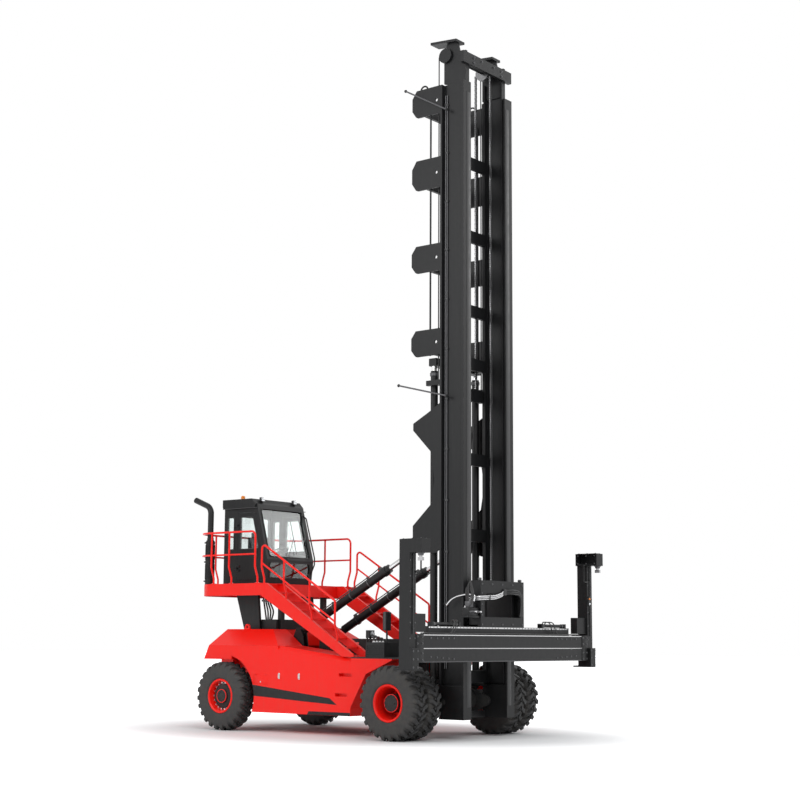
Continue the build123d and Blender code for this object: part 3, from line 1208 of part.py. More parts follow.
# Carriage: roller plates in the inner mast, and a frame in front of it with an arched opening
roller_plate = 60
roller_radius = (inner_front - inner_rear) / 2 - inner_wall - running_gap
roller_inset = 250
roller_plate_rear = 130
arm_half = inner_half - inner_width - running_gap
front_x = 1180
front_half = 710
frame_rear_x_offset = 40
frame_rear_x = mast_front + frame_rear_x_offset
frame_wall = 60
frame_post_foot = 2120
head_bar_low = 2700
foot_bar_high = 2260
carriage_tie = 200
anchor_height = 120
window_radius = 120
with BuildPart() as carriage:
    roller_x = (inner_front + inner_rear) / 2
    for name, side in SIDES:
        block(roller_x - roller_plate_rear, beam_rear - running_gap, side * (arm_half - roller_plate), side * arm_half, carriage_foot, carriage_top)
        for roller_z in (carriage_foot + roller_inset, carriage_top - roller_inset):
            disc(roller_x, roller_z, roller_radius, side * (arm_half - overrun), side * (inner_half - inner_wall - running_gap))
        block(frame_rear_x, front_x, side * (front_half - frame_wall), side * front_half, frame_post_foot, carriage_top)
        block(frame_rear_x, frame_rear_x + frame_wall, side * (arm_half - roller_plate), side * front_half, frame_post_foot, carriage_top)
        block(sheave_x + sheave_radius - frame_wall, frame_rear_x + frame_wall, side * (sheave_half - frame_wall), side * arm_half,
              carriage_top - anchor_height, carriage_top)
    block(frame_rear_x, frame_rear_x + frame_wall, -front_half, front_half, head_bar_low, carriage_top)
    block(frame_rear_x, beam_rear - running_gap, -arm_half, arm_half, carriage_foot, carriage_foot + carriage_tie)
    with BuildSketch(Plane.YZ.offset(front_x - frame_wall)) as front_frame:
        with Locations((0, (shelf_top + seat_gap + carriage_top) / 2)):
            Rectangle(2 * front_half, carriage_top - shelf_top - seat_gap)
        with BuildSketch(mode=Mode.PRIVATE) as front_window:
            with Locations((0, (foot_bar_high + head_bar_low) / 2)):
                Rectangle(2 * (front_half - 2 * frame_wall), head_bar_low - foot_bar_high)
            fillet(front_window.vertices().group_by(Axis.Y)[-1], radius=window_radius)
        add(front_window.sketch, mode=Mode.SUBTRACT)
    extrude(front_frame.sketch, amount=frame_wall)
    block(frame_rear_x, front_x, -front_half, front_half, frame_post_foot, frame_post_foot + frame_wall)
save(carriage, "carriage")

# Spreader beam: two tubes one above the other with open ends, slide pads, and a shelf that hangs in the carriage
pad_length = 220
pad_high_gap = arm_gap - seat_gap
shelf_half = 2300
shelf_wall = 100
ram_inner = 1330
ram_outer = 2200
ram_radius = 32
ram_bracket = 60
ram_z = shelf_top + ram_radius + running_gap
tubes = {-1: (beam_middle + beam_wall / 2, beam_high - beam_wall), 1: (beam_low + beam_wall, beam_middle - beam_wall / 2)}
with BuildPart() as spreader_beam:
    block(beam_rear, beam_front, -beam_half, beam_half, beam_low, beam_high)
    for low, high in tubes.values():
        block(beam_rear + beam_wall, beam_front - beam_wall, -beam_half - overrun, beam_half + overrun, low, high, mode=Mode.SUBTRACT)
    block(front_x - shelf_wall, front_x, -shelf_half, shelf_half, beam_high - beam_wall, shelf_top)
    for name, side in SIDES:
        low, high = tubes[side]
        for pad_low, pad_high in ((low - beam_wall / 2, low + pad_high_gap), (high - pad_high_gap, high + beam_wall / 2)):
            block(beam_rear + 3 * beam_wall, beam_front - 3 * beam_wall, side * (beam_half - pad_length), side * beam_half, pad_low, pad_high)
        disc(front_x - shelf_wall / 2, ram_z, ram_radius, side * (ram_inner + ram_bracket / 2), side * (ram_outer - ram_bracket / 2))
        for bracket_y in (ram_inner, ram_outer - ram_bracket):
            block(front_x - shelf_wall, front_x, side * bracket_y, side * (bracket_y + ram_bracket), shelf_top - overrun, ram_z + ram_radius + running_gap)
save(spreader_beam, "spreader_beam")

# Spreader arms with their posts, feet and heads, and a twist lock under each head
arm_end = post_half - post_width
post_rear_offset = 10
post_rear = beam_rear + post_rear_offset
head_length = 500
head_width = 240
head_wall = 20
foot_reach = 70
foot_high = 1690
foot_plate = 30
foot_plate_rear_offset = 110
foot_plate_rear = beam_rear - foot_plate_rear_offset
foot_plate_front_offset = 50
foot_plate_front = beam_front + foot_plate_front_offset
knee_low = 1970
knee_high = 2290
knee_length = 330
knee_inset = 40
lock_x_offset = 80
lock_x = post_rear + head_length - lock_x_offset
lock_y_offset = 73.5
lock_y = post_half - lock_y_offset
lock_radius = 28
lock_low_offset = 140
lock_low = head_low - lock_low_offset
lock_key = 60
loop_radius = 14
loop_out = 130
loop_drop = 330
lock_key_length = 100
lock_key_width = 54
for name, side in SIDES:
    low, high = tubes[side]
    with BuildPart() as arm:
        block(beam_rear + beam_wall + arm_gap, beam_front - beam_wall - arm_gap, side * (arm_end - arm_length), side * (arm_end + overrun), low + arm_gap, high - arm_gap)
        block(beam_rear + 2 * beam_wall + arm_gap, beam_front - 2 * beam_wall - arm_gap, side * (arm_end - arm_length - overrun), side * arm_end,
              low + arm_gap + beam_wall, high - arm_gap - beam_wall, mode=Mode.SUBTRACT)
        block(post_rear, beam_front, side * arm_end, side * post_half, post_foot, head_low)
        block(post_rear, post_rear + head_length, side * (post_half - head_width), side * post_half, head_low, head_high)
        block(post_rear + head_wall, post_rear + head_length - head_wall, side * (post_half - head_width - overrun), side * (post_half - 2 * head_wall),
              head_low + 2 * head_wall, head_high - head_wall, mode=Mode.SUBTRACT)
        block(post_rear, beam_front + foot_reach, side * arm_end, side * post_half, post_foot, foot_high)
        block(foot_plate_rear, foot_plate_front, side * arm_end, side * post_half, post_foot, post_foot + foot_plate)
        for pad_low, pad_high in ((low + seat_gap, low + 2 * arm_gap), (high - 2 * arm_gap, high - seat_gap)):
            block(beam_rear + 3 * beam_wall, beam_front - 3 * beam_wall, side * (arm_end - arm_length), side * (arm_end - arm_length + pad_length), pad_low, pad_high)
        with BuildSketch(Plane.XY.offset(knee_low)) as knee:
            with BuildLine():
                Polyline((post_rear + knee_inset, side * (arm_end + overrun)), (beam_front - knee_inset, side * (arm_end + overrun)),
                         (beam_front - knee_inset, side * (arm_end - knee_length)), (post_rear + knee_inset, side * (arm_end - knee_length)), close=True)
            make_face()
        extrude(knee.sketch, amount=knee_high - knee_low)
        tube_run([(post_rear + head_width, side * (post_half - head_width + overrun), head_low + head_wall), (post_rear + head_width, side * (arm_end - loop_out), head_low + head_wall),
                  (post_rear + head_width, side * (arm_end - loop_out), head_low - loop_drop), (post_rear + head_width, side * (arm_end + overrun), head_low - loop_drop)],
                 loop_radius, 3 * loop_radius)
    save(arm, f"spreader_arm_{name}")
    with BuildPart() as twistlock:
        bar((lock_x, side * lock_y, lock_low), (lock_x, side * lock_y, head_low - seat_gap), lock_radius)
        block(lock_x - lock_key_length / 2, lock_x + lock_key_length / 2, side * (lock_y - lock_key_width / 2), side * (lock_y + lock_key_width / 2),
              lock_low, lock_low + lock_key)
    save(twistlock, f"twistlock_{name}")

# Tilt cylinders: barrels on the chassis ears, rods to the outer mast's pins
tilt_run = Vector(tilt_eye_x - tilt_pin_x, 0, tilt_eye_z - tilt_pin_z)
tilt_unit = tilt_run.normalized()
barrel_share = 0.72
rod_start_share = 0.43
eye_bush = 12
for name, side in SIDES:
    pin = Vector(tilt_pin_x, side * tilt_half, tilt_pin_z)
    eye = Vector(tilt_eye_x, side * tilt_half, tilt_eye_z)
    barrel_end = pin + tilt_unit * barrel_share * tilt_run.length
    with BuildPart() as tilt_barrel:
        bar(tuple(pin + tilt_unit * 1.5 * tilt_eye_radius), tuple(barrel_end), tilt_barrel_radius)
        bar(tuple(pin), tuple(pin + tilt_unit * 2 * tilt_eye_radius), tilt_eye_width / 2)
        disc(tilt_pin_x, tilt_pin_z, tilt_eye_radius, side * (tilt_half - tilt_eye_width / 2), side * (tilt_half + tilt_eye_width / 2))
        disc(tilt_pin_x, tilt_pin_z, tilt_pin_radius + pivot_play, side * (tilt_half - tilt_eye_width), side * (tilt_half + tilt_eye_width), mode=Mode.SUBTRACT)
        bar(tuple(pin + tilt_unit * 2 * tilt_eye_radius), tuple(barrel_end + tilt_unit * overrun), tilt_rod_radius + seat_gap, mode=Mode.SUBTRACT)
    save(tilt_barrel, f"tilt_barrel_{name}")
    with BuildPart() as tilt_rod:
        bar(tuple(pin + tilt_unit * rod_start_share * tilt_run.length), tuple(eye), tilt_rod_radius)
        disc(tilt_eye_x, tilt_eye_z, tilt_eye_radius, side * (tilt_half - tilt_eye_width / 2), side * (tilt_half + tilt_eye_width / 2))
        disc(tilt_eye_x, tilt_eye_z, tilt_pin_radius + eye_bush, side * (tilt_half - tilt_eye_width), side * (tilt_half + tilt_eye_width), mode=Mode.SUBTRACT)
    save(tilt_rod, f"tilt_rod_{name}")
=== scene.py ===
import math

import bmesh
import bpy
from mathutils import Matrix, Vector


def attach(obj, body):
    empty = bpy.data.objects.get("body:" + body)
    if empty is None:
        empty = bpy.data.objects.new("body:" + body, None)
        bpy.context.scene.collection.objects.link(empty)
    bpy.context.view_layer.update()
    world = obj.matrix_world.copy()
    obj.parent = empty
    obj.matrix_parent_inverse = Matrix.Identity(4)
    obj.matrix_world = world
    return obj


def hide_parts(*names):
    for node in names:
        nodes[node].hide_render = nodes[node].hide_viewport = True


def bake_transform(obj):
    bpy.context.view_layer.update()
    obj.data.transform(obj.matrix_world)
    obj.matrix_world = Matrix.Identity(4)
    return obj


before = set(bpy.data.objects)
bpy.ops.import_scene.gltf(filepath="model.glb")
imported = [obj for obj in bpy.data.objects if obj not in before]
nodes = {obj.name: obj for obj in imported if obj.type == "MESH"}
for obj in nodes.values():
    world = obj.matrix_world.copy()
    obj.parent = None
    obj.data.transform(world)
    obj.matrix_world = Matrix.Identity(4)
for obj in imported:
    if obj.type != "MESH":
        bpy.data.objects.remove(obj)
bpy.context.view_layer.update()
SIDES = (("right", -1), ("left", 1))

# Camera: it stands low in front of the machine's right side and looks up a little at the mast.
# Its place and turn were solved from the photograph on the wheelbase, wheels, posts and mast head.
camera_place = Vector((18.2399, -24.4922, 1.8332))
camera_turn = math.radians(38.6347)
camera_pitch = math.radians(8.7283)
camera_roll = math.radians(0.3563)
photo_width_px = 800
focal_px = 1561.57
camera_data = bpy.data.cameras.new("photo_camera")
camera_data.sensor_width = 36
camera_data.lens = focal_px / photo_width_px * camera_data.sensor_width
camera_data.clip_end = 400
camera = bpy.data.objects.new("photo_camera", camera_data)
bpy.context.scene.collection.objects.link(camera)
backward = Vector((math.sin(camera_turn) * math.cos(camera_pitch), -math.cos(camera_turn) * math.cos(camera_pitch),
                   -math.sin(camera_pitch)))
rightward = Vector((math.cos(camera_turn), math.sin(camera_turn), 0))
upward = backward.cross(rightward)
turn = Matrix((rightward, upward, backward)).transposed().to_4x4()
camera.matrix_world = Matrix.Translation(camera_place) @ turn @ Matrix.Rotation(camera_roll, 4, "Z")
bpy.context.scene.camera = camera
bpy.context.scene.view_settings.view_transform = "Standard"


# Light: three large soft panels, as round a machine that is photographed in a bright hall and cut out on
# white, and an even pale world. The background's white comes from Light Path alone.
def add_node(tree, kind, settings=(), **inputs):
    """A node with its settings; inputs take a number, a colour or another node's output."""
    made = tree.nodes.new(kind)
    for key, value in dict(settings).items():
        setattr(made, key, value)
    feed(tree, made, {key.replace("_", " "): value for key, value in inputs.items()})
    return made


def feed(tree, made, inputs):
    for key, value in inputs.items():
        if isinstance(value, bpy.types.NodeSocket):
            tree.links.new(value, made.inputs[key])
        else:
            made.inputs[key].default_value = value


def calc(tree, operation, *values):
    """The result of a Math node."""
    made = add_node(tree, "ShaderNodeMath", (("operation", operation),))
    feed(tree, made, dict(enumerate(values)))
    return made.outputs[0]


def times(tree, first, *others):
    for other in others:
        first = calc(tree, "MULTIPLY", first, other)
    return first


def background_rays(tree):
    """1 for rays that see the background: camera rays, mirror reflections and what is seen through glass."""
    path = tree.nodes.new("ShaderNodeLightPath")
    seen = calc(tree, "MAXIMUM", path.outputs["Is Camera Ray"], path.outputs["Is Glossy Ray"])
    return calc(tree, "MAXIMUM", seen, path.outputs["Is Transmission Ray"])


world = bpy.data.worlds.new("pale_hall")
bpy.context.scene.world = world
world.use_nodes = True
world_tree = world.node_tree
world_tree.nodes.clear()
world_out = world_tree.nodes.new("ShaderNodeOutputWorld")
world_mix = world_tree.nodes.new("ShaderNodeMixShader")
world_light = add_node(world_tree, "ShaderNodeBackground", Color=(0.95, 0.97, 1.0, 1), Strength=0.5)
world_seen = add_node(world_tree, "ShaderNodeBackground", Color=(1, 1, 1, 1), Strength=1.0)
feed(world_tree, world_mix, {"Fac": background_rays(world_tree), 1: world_light.outputs[0], 2: world_seen.outputs[0]})
feed(world_tree, world_out, {"Surface": world_mix.outputs[0]})
# Rows of name, place, aim, size and power
panels = (("front_panel", (22, -16, 20), (0.5, -0.5, 4), 16, 3600),
          ("side_panel", (-9, -26, 16), (-2, 0, 3), 14, 3000),
          ("far_panel", (8, 24, 18), (0, 0, 5), 14, 1400))
for panel_name, place, aim, panel_size, watts in panels:
    panel_data = bpy.data.lights.new(panel_name, "AREA")
    panel_data.shape = "DISK"
    panel_data.size = panel_size
    panel_data.energy = watts
    panel = bpy.data.objects.new(panel_name, panel_data)
    bpy.context.scene.collection.objects.link(panel)
    panel.location = place
    panel.rotation_euler = (Vector(aim) - Vector(place)).to_track_quat("-Z", "Y").to_euler()

# Floor: a wide pale ground that keeps the machine's soft shadow and turns to plain white away from it.
# It is stage, not part of the machine.
floor_reach = 150
machine_centre, length_to_width, near_reach, far_reach = -2.2, 1.5, 2.2, 6.2
floor_mesh = bpy.data.meshes.new("floor")
floor_mesh.from_pydata([(floor_reach * x, floor_reach * y, 0) for x, y in ((-1, -1), (1, -1), (1, 1), (-1, 1))],
                       [], [(0, 1, 2, 3)])
floor = bpy.data.objects.new("floor", floor_mesh)
bpy.context.scene.collection.objects.link(floor)
floor_material = bpy.data.materials.new("pale_floor")
floor_material.use_nodes = True
floor_tree = floor_material.node_tree
floor_shader = floor_tree.nodes["Principled BSDF"]
feed(floor_tree, floor_shader, {"Base Color": (0.84, 0.84, 0.84, 1), "Roughness": 0.9, "Specular IOR Level": 0.1})
floor_place = floor_tree.nodes.new("ShaderNodeTexCoord").outputs["Object"]
floor_spot = add_node(floor_tree, "ShaderNodeMapping", Vector=floor_place, Scale=(1 / length_to_width, 1, 1),
                      Location=(-machine_centre / length_to_width, 0, 0)).outputs[0]
floor_away = add_node(floor_tree, "ShaderNodeVectorMath", (("operation", "LENGTH"),))
feed(floor_tree, floor_away, {0: floor_spot})
floor_strength = add_node(floor_tree, "ShaderNodeMapRange", (("interpolation_type", "SMOOTHSTEP"),),
                          From_Min=near_reach, From_Max=far_reach, Value=floor_away.outputs["Value"]).outputs[0]
floor_glow = add_node(floor_tree, "ShaderNodeEmission", Color=(1, 1, 1, 1), Strength=floor_strength)
floor_add = floor_tree.nodes.new("ShaderNodeAddShader")
feed(floor_tree, floor_add, {0: floor_shader.outputs[0], 1: floor_glow.outputs[0]})
floor_seen = floor_tree.nodes.new("ShaderNodeMixShader")
feed(floor_tree, floor_seen, {"Fac": background_rays(floor_tree), 1: floor_shader.outputs[0], 2: floor_add.outputs[0]})
feed(floor_tree, floor_tree.nodes["Material Output"], {"Surface": floor_seen.outputs[0]})
floor_mesh.materials.append(floor_material)


# Sprayed plate: the body, counterweight, platform, stairs, rails and rims are welded steel in bright red
# enamel, the cab, mast and spreader in black and grey. The coat has a fine orange peel, rubbed edges, and dust
# that thickens towards the ground and on what faces up.
def group_of(name, inputs, outputs):
    """A node group with its sockets: rows of name, kind and value, and rows of name and kind."""
    group = bpy.data.node_groups.new(name, "ShaderNodeTree")
    for socket_name, kind, value in inputs:
        group.interface.new_socket(name=socket_name, in_out="INPUT", socket_type=kind).default_value = value
    for socket_name, kind in outputs:
        group.interface.new_socket(name=socket_name, in_out="OUTPUT", socket_type=kind)
    return group, group.nodes.new("NodeGroupInput"), group.nodes.new("NodeGroupOutput")


def object_place(tree):
    return tree.nodes.new("ShaderNodeTexCoord").outputs["Object"]


def noise(tree, vector, scale, detail=3.0, rough=0.5):
    made = add_node(tree, "ShaderNodeTexNoise", Vector=vector, Scale=scale, Detail=detail, Roughness=rough)
    return made.outputs["Fac"]


def spread(tree, value, low, high, to_low=0.0, to_high=1.0):
    """A value stretched from low and high to 0 and 1, and held there."""
    made = add_node(tree, "ShaderNodeMapRange", From_Min=low, From_Max=high, To_Min=to_low, To_Max=to_high, Value=value)
    return made.outputs[0]


def blend(tree, share, first, second, way="MIX"):
    made = add_node(tree, "ShaderNodeMix", (("data_type", "RGBA"), ("blend_type", way)))
    feed(tree, made, {"Factor": share, "A": first, "B": second})
    return made.outputs["Result"]


def bumped(tree, height, strength, distance, normal=None):
    made = add_node(tree, "ShaderNodeBump", Strength=strength, Distance=distance, Height=height)
    if normal is not None:
        feed(tree, made, {"Normal": normal})
    return made.outputs[0]


COLOR, FLOAT, VECTOR = "NodeSocketColor", "NodeSocketFloat", "NodeSocketVector"
SURFACE = (("Color", COLOR), ("Roughness", FLOAT), ("Normal", VECTOR))
coat, cin, cout = group_of(
    "sprayed_coat",
    (("Paint", COLOR, (0.5, 0.5, 0.5, 1)), ("Rubbed", COLOR, (0.2, 0.2, 0.2, 1)), ("Dust", COLOR, (0.3, 0.27, 0.23, 1)),
     ("Wear", FLOAT, 0.3), ("Dustiness", FLOAT, 0.2), ("Gloss", FLOAT, 0.35), ("Edge", FLOAT, 0.006),
     ("Chequer", FLOAT, 0.0)), SURFACE)
rest_place = coat.nodes.new("ShaderNodeTexCoord")
spot = rest_place.outputs["Object"]
true_normal = coat.nodes.new("ShaderNodeNewGeometry").outputs["Normal"]
soft_edge = add_node(coat, "ShaderNodeBevel", (("samples", 4),), Radius=cin.outputs["Edge"]).outputs[0]
edge_dot = add_node(coat, "ShaderNodeVectorMath", (("operation", "DOT_PRODUCT"),))
feed(coat, edge_dot, {0: soft_edge, 1: true_normal})
edge_mask = spread(coat, edge_dot.outputs["Value"], 0.995, 0.90)
wear_amount = times(coat, edge_mask, spread(coat, noise(coat, spot, 24, 6), 0.48, 0.62), cin.outputs["Wear"])
spot_parts = add_node(coat, "ShaderNodeSeparateXYZ", Vector=spot)
facing_parts = add_node(coat, "ShaderNodeSeparateXYZ", Vector=rest_place.outputs["Normal"])
near_ground = spread(coat, spot_parts.outputs["Z"], 3.0, 0.2, 0.25, 1.0)
facing_up = spread(coat, facing_parts.outputs["Z"], 0.2, 1.0)
dust_amount = times(coat, spread(coat, noise(coat, spot, 7, 8, 0.65), 0.35, 0.75),
                    calc(coat, "MAXIMUM", near_ground, facing_up), cin.outputs["Dustiness"])
# Chequer pattern of lozenges that lie along and across in turn, on faces that point up
chequers_per_metre, lozenge_long, lozenge_short = 26.0, 2.3, 7.0
pitch_x = times(coat, spot_parts.outputs["X"], chequers_per_metre)
pitch_y = times(coat, spot_parts.outputs["Y"], chequers_per_metre)
turned = calc(coat, "PINGPONG", calc(coat, "ADD", calc(coat, "FLOOR", pitch_x), calc(coat, "FLOOR", pitch_y)), 1.0)
off_x = calc(coat, "ABSOLUTE", calc(coat, "SUBTRACT", calc(coat, "FRACT", pitch_x), 0.5))
off_y = calc(coat, "ABSOLUTE", calc(coat, "SUBTRACT", calc(coat, "FRACT", pitch_y), 0.5))
along = calc(coat, "ADD", times(coat, off_x, lozenge_long), times(coat, off_y, lozenge_short))
across = calc(coat, "ADD", times(coat, off_x, lozenge_short), times(coat, off_y, lozenge_long))
lozenge = calc(coat, "ADD", times(coat, along, calc(coat, "SUBTRACT", 1.0, turned)), times(coat, across, turned))
raised = times(coat, spread(coat, lozenge, 1.05, 0.85), spread(coat, facing_parts.outputs["Z"], 0.8, 0.95),
               cin.outputs["Chequer"])
tinted = blend(coat, 0.10, cin.outputs["Paint"], noise(coat, spot, 0.9, 5), "MULTIPLY")
streaks = add_node(coat, "ShaderNodeMapping", Vector=spot, Scale=(18.0, 18.0, 0.8)).outputs[0]
streak_amount = times(coat, spread(coat, noise(coat, streaks, 1.0, 4), 0.5, 0.8), 0.06)
tinted = blend(coat, streak_amount, tinted, cin.outputs["Dust"])
rubbed = blend(coat, calc(coat, "MAXIMUM", wear_amount, times(coat, raised, 0.35)), tinted, cin.outputs["Rubbed"])
coat_colour = blend(coat, dust_amount, rubbed, cin.outputs["Dust"])
coat_rough = calc(coat, "MULTIPLY_ADD", wear_amount, 0.2, cin.outputs["Gloss"])
coat_rough = calc(coat, "MULTIPLY_ADD", dust_amount, 0.45, coat_rough)
patches = calc(coat, "SUBTRACT", noise(coat, spot, 11, 4), 0.5)
coat_rough = calc(coat, "MULTIPLY_ADD", patches, 0.16, coat_rough)
coat_normal = bumped(coat, raised, 0.9, 0.003, bumped(coat, noise(coat, spot, 160, 2), 0.06, 0.001, soft_edge))
feed(coat, cout, {"Color": coat_colour, "Roughness": coat_rough, "Normal": coat_normal})


def material_of(name):
    """A new material with its tree and Principled shader."""
    material = bpy.data.materials.new(name)
    material.use_nodes = True
    return material, material.node_tree, material.node_tree.nodes["Principled BSDF"]


def grouped(name, group, shader_values=(), **inputs):
    """A Principled material that takes colour, roughness and normal from a node group."""
    material, tree, shader = material_of(name)
    use = tree.nodes.new("ShaderNodeGroup")
    use.node_tree = group
    feed(tree, use, {key.replace("_", " "): value for key, value in inputs.items()})
    feed(tree, shader, dict(shader_values))
    for made, wanted in (("Color", "Base Color"), ("Roughness", "Roughness"), ("Normal", "Normal")):
        tree.links.new(use.outputs[made], shader.inputs[wanted])
    return material


def sprayed(name, paint, rubbed_to, dust, wear, dustiness, gloss, coat_weight=0.0, metallic=0.0, edge=0.006,
            chequer=0.0):
    """A coat of paint on plate, or bare metal, with what shows where it is rubbed, and its dust."""
    shine = {"Metallic": metallic, "Coat Weight": coat_weight, "Coat Roughness": 0.12, "Specular IOR Level": 0.24}
    return grouped(name, coat, shine, Paint=(*paint, 1), Rubbed=(*rubbed_to, 1), Dust=(*dust, 1), Wear=wear,
                   Dustiness=dustiness, Gloss=gloss, Edge=edge, Chequer=chequer)


def dress(material, *names):
    """Gives CAD nodes a material in place of the plain one that came with the frame."""
    for name in names:
        data = nodes[name].data
        data.materials.clear()
        data.materials.append(material)


red_enamel = sprayed("red_enamel", (0.97, 0.009, 0.004), (0.34, 0.03, 0.02), (0.36, 0.16, 0.11), 0.30, 0.07, 0.34,
                     coat_weight=0.05)
red_treads = sprayed("red_treads", (0.92, 0.010, 0.005), (0.36, 0.06, 0.04), (0.34, 0.18, 0.13), 0.40, 0.18, 0.40,
                     coat_weight=0.03, chequer=1.0)
black_enamel = sprayed("black_enamel", (0.0085, 0.0088, 0.0095), (0.09, 0.09, 0.095), (0.075, 0.07, 0.065),
                       0.40, 0.18, 0.42)
black_plate = sprayed("black_plate", (0.010, 0.0105, 0.011), (0.11, 0.11, 0.115), (0.09, 0.085, 0.08),
                      0.5, 0.30, 0.48, chequer=1.0)
mast_enamel = sprayed("mast_enamel", (0.0082, 0.0085, 0.0092), (0.10, 0.10, 0.105), (0.060, 0.057, 0.054),
                      0.45, 0.12, 0.44)
cast_iron = sprayed("cast_iron", (0.018, 0.0185, 0.0195), (0.13, 0.125, 0.12), (0.10, 0.09, 0.08), 0.4, 0.40, 0.60)
bare_steel = sprayed("bare_steel", (0.42, 0.42, 0.43), (0.62, 0.62, 0.62), (0.20, 0.18, 0.16), 0.5, 0.25, 0.34,
                     metallic=1.0, edge=0.002)
oiled_steel = sprayed("oiled_steel", (0.16, 0.16, 0.165), (0.30, 0.30, 0.31), (0.06, 0.055, 0.05), 0.4, 0.55, 0.30,
                      metallic=1.0, edge=0.002)
dress(red_enamel, "body_left", "body_right", "rear_hood", "counterweight", "handrails",
      "stair_rails", "drive_rims_left", "drive_rims_right", "steer_rim_left", "steer_rim_right")
dress(red_treads, "platform", "stairs")
dress(black_plate, "deck")
dress(black_enamel, "cab_shell", "cab_door_left", "cab_door_right", "cab_support", "engine_hood", "exhaust",
      "chassis_frame", "deck_equipment", "lift_barrels", "tilt_barrel_left", "tilt_barrel_right")
dress(cast_iron, "engine_block", "drive_axle", "steer_axle", "knuckle_left", "knuckle_right")
dress(mast_enamel, "outer_mast", "inner_mast", "carriage", "spreader_beam", "spreader_arm_left", "spreader_arm_right")
dress(oiled_steel, "mast_sheaves")
dress(bare_steel, "twistlock_left", "twistlock_right")

# Small materials: bright and worn steel and moulded plastic for fittings, hose and seal rubber, lenses with a
# ribbed back, mirror glass and the screen's dark glass
bright_steel = sprayed("bright_steel", (0.62, 0.62, 0.63), (0.75, 0.75, 0.75), (0.25, 0.23, 0.20), 0.4, 0.2, 0.28,
                       metallic=1.0, edge=0.001)
worn_steel = sprayed("worn_steel", (0.10, 0.10, 0.105), (0.34, 0.34, 0.35), (0.12, 0.11, 0.10), 0.5, 0.3, 0.42,
                     metallic=0.4, edge=0.003)


def small_material(name, colour, second, scale, roughness, bump, distance, **shader_values):
    """A material whose colour, roughness and relief vary with one noise."""
    material, tree, shader = material_of(name)
    place = object_place(tree)
    coarse = noise(tree, place, scale, 5)
    feed(tree, shader, {"Base Color": blend(tree, spread(tree, coarse, 0.35, 0.7), (*colour, 1), (*second, 1)),
                        "Roughness": spread(tree, coarse, 0.3, 0.7, *roughness),
                        "Normal": bumped(tree, noise(tree, place, 40 * scale, 3), bump, distance)})
    feed(tree, shader, {key.replace("_", " "): value for key, value in shader_values.items()})
    return material


black_plastic = small_material("black_plastic", (0.018, 0.018, 0.019), (0.03, 0.03, 0.031), 12, (0.42, 0.58),
                               0.25, 0.0004)
hose_rubber = small_material("hose_rubber", (0.014, 0.014, 0.015), (0.032, 0.031, 0.03), 20, (0.45, 0.62),
                             0.35, 0.0008)
seal_rubber = small_material("seal_rubber", (0.01, 0.01, 0.01), (0.02, 0.02, 0.02), 15, (0.55, 0.7), 0.15, 0.0004)
mirror_glass = small_material("mirror_glass", (0.82, 0.83, 0.84), (0.76, 0.77, 0.78), 6, (0.02, 0.06), 0.0, 0.0001,
                              Metallic=1.0)
screen_glass = small_material("screen_glass", (0.012, 0.016, 0.022), (0.018, 0.024, 0.032), 5, (0.05, 0.12),
                              0.0, 0.0001, Coat_Weight=0.5)
red_lens = small_material("red_lens", (0.50, 0.010, 0.008), (0.62, 0.020, 0.012), 60, (0.08, 0.16), 0.6, 0.0012,
                          Coat_Weight=0.4)
amber_lens = small_material("amber_lens", (0.85, 0.22, 0.015), (0.95, 0.32, 0.03), 60, (0.08, 0.18), 0.6, 0.0012,
                            Coat_Weight=0.4)
clear_lens = small_material("clear_lens", (0.80, 0.82, 0.84), (0.66, 0.68, 0.70), 50, (0.05, 0.14), 0.6, 0.0012,
                            Metallic=0.6, Coat_Weight=0.5)

# Cab panes: clear, faintly green safety glass with soft smears and a slight waviness. The seals that hold the panes
# come with the cab's trim.
window_glass, glass_tree, glass_shader = material_of("window_glass")
glass_place = object_place(glass_tree)
smear = spread(glass_tree, noise(glass_tree, glass_place, 3.5, 6), 0.52, 0.75)
feed(glass_tree, glass_shader, {
    "Base Color": blend(glass_tree, smear, (0.90, 0.95, 0.94, 1), (0.80, 0.83, 0.82, 1)), "Metallic": 0.0,
    "Transmission Weight": 1.0, "IOR": 1.45, "Roughness": spread(glass_tree, smear, 0.0, 1.0, 0.0, 0.10),
    "Normal": bumped(glass_tree, noise(glass_tree, glass_place, 1.2, 2), 0.02, 0.002)})
dress(window_glass, "cab_glass", "door_glass_left", "door_glass_right")

# Cylinder rods: steel with hard chrome, fine turned marks round the rod and a thin film of oil. The lift and tilt
# rods slide in the barrels.
rod_chrome, rod_tree, rod_shader = material_of("rod_chrome")
rod_spot = object_place(rod_tree)
rod_stretched = add_node(rod_tree, "ShaderNodeMapping", Vector=rod_spot, Scale=(2.0, 2.0, 90.0)).outputs[0]
rod_marks = noise(rod_tree, rod_stretched, 3.0, 3)
rod_film = spread(rod_tree, noise(rod_tree, rod_spot, 5, 4), 0.4, 0.7)
feed(rod_tree, rod_shader, {
    "Base Color": blend(rod_tree, rod_film, (0.66, 0.67, 0.69, 1), (0.46, 0.45, 0.43, 1)), "Metallic": 1.0,
    "Roughness": spread(rod_tree, rod_marks, 0.3, 0.7, 0.10, 0.26), "Normal": bumped(rod_tree, rod_marks, 0.05, 0.001)})
dress(rod_chrome, "lift_rods", "tilt_rod_left", "tilt_rod_right")


# Tyres: cured rubber on a rounded carcass, with a row of chevron lugs on each half set half a pitch apart, ribs
# round the sidewall and dust in the grooves. They replace the plain lugged solids and keep their size.
def taken(made):
    """Points and faces of a bmesh, which is then freed."""
    made.verts.index_update()
    points = [v.co.copy() for v in made.verts]
    faces = [[v.index for v in f.verts] for f in made.faces]
    made.free()
    return points, faces


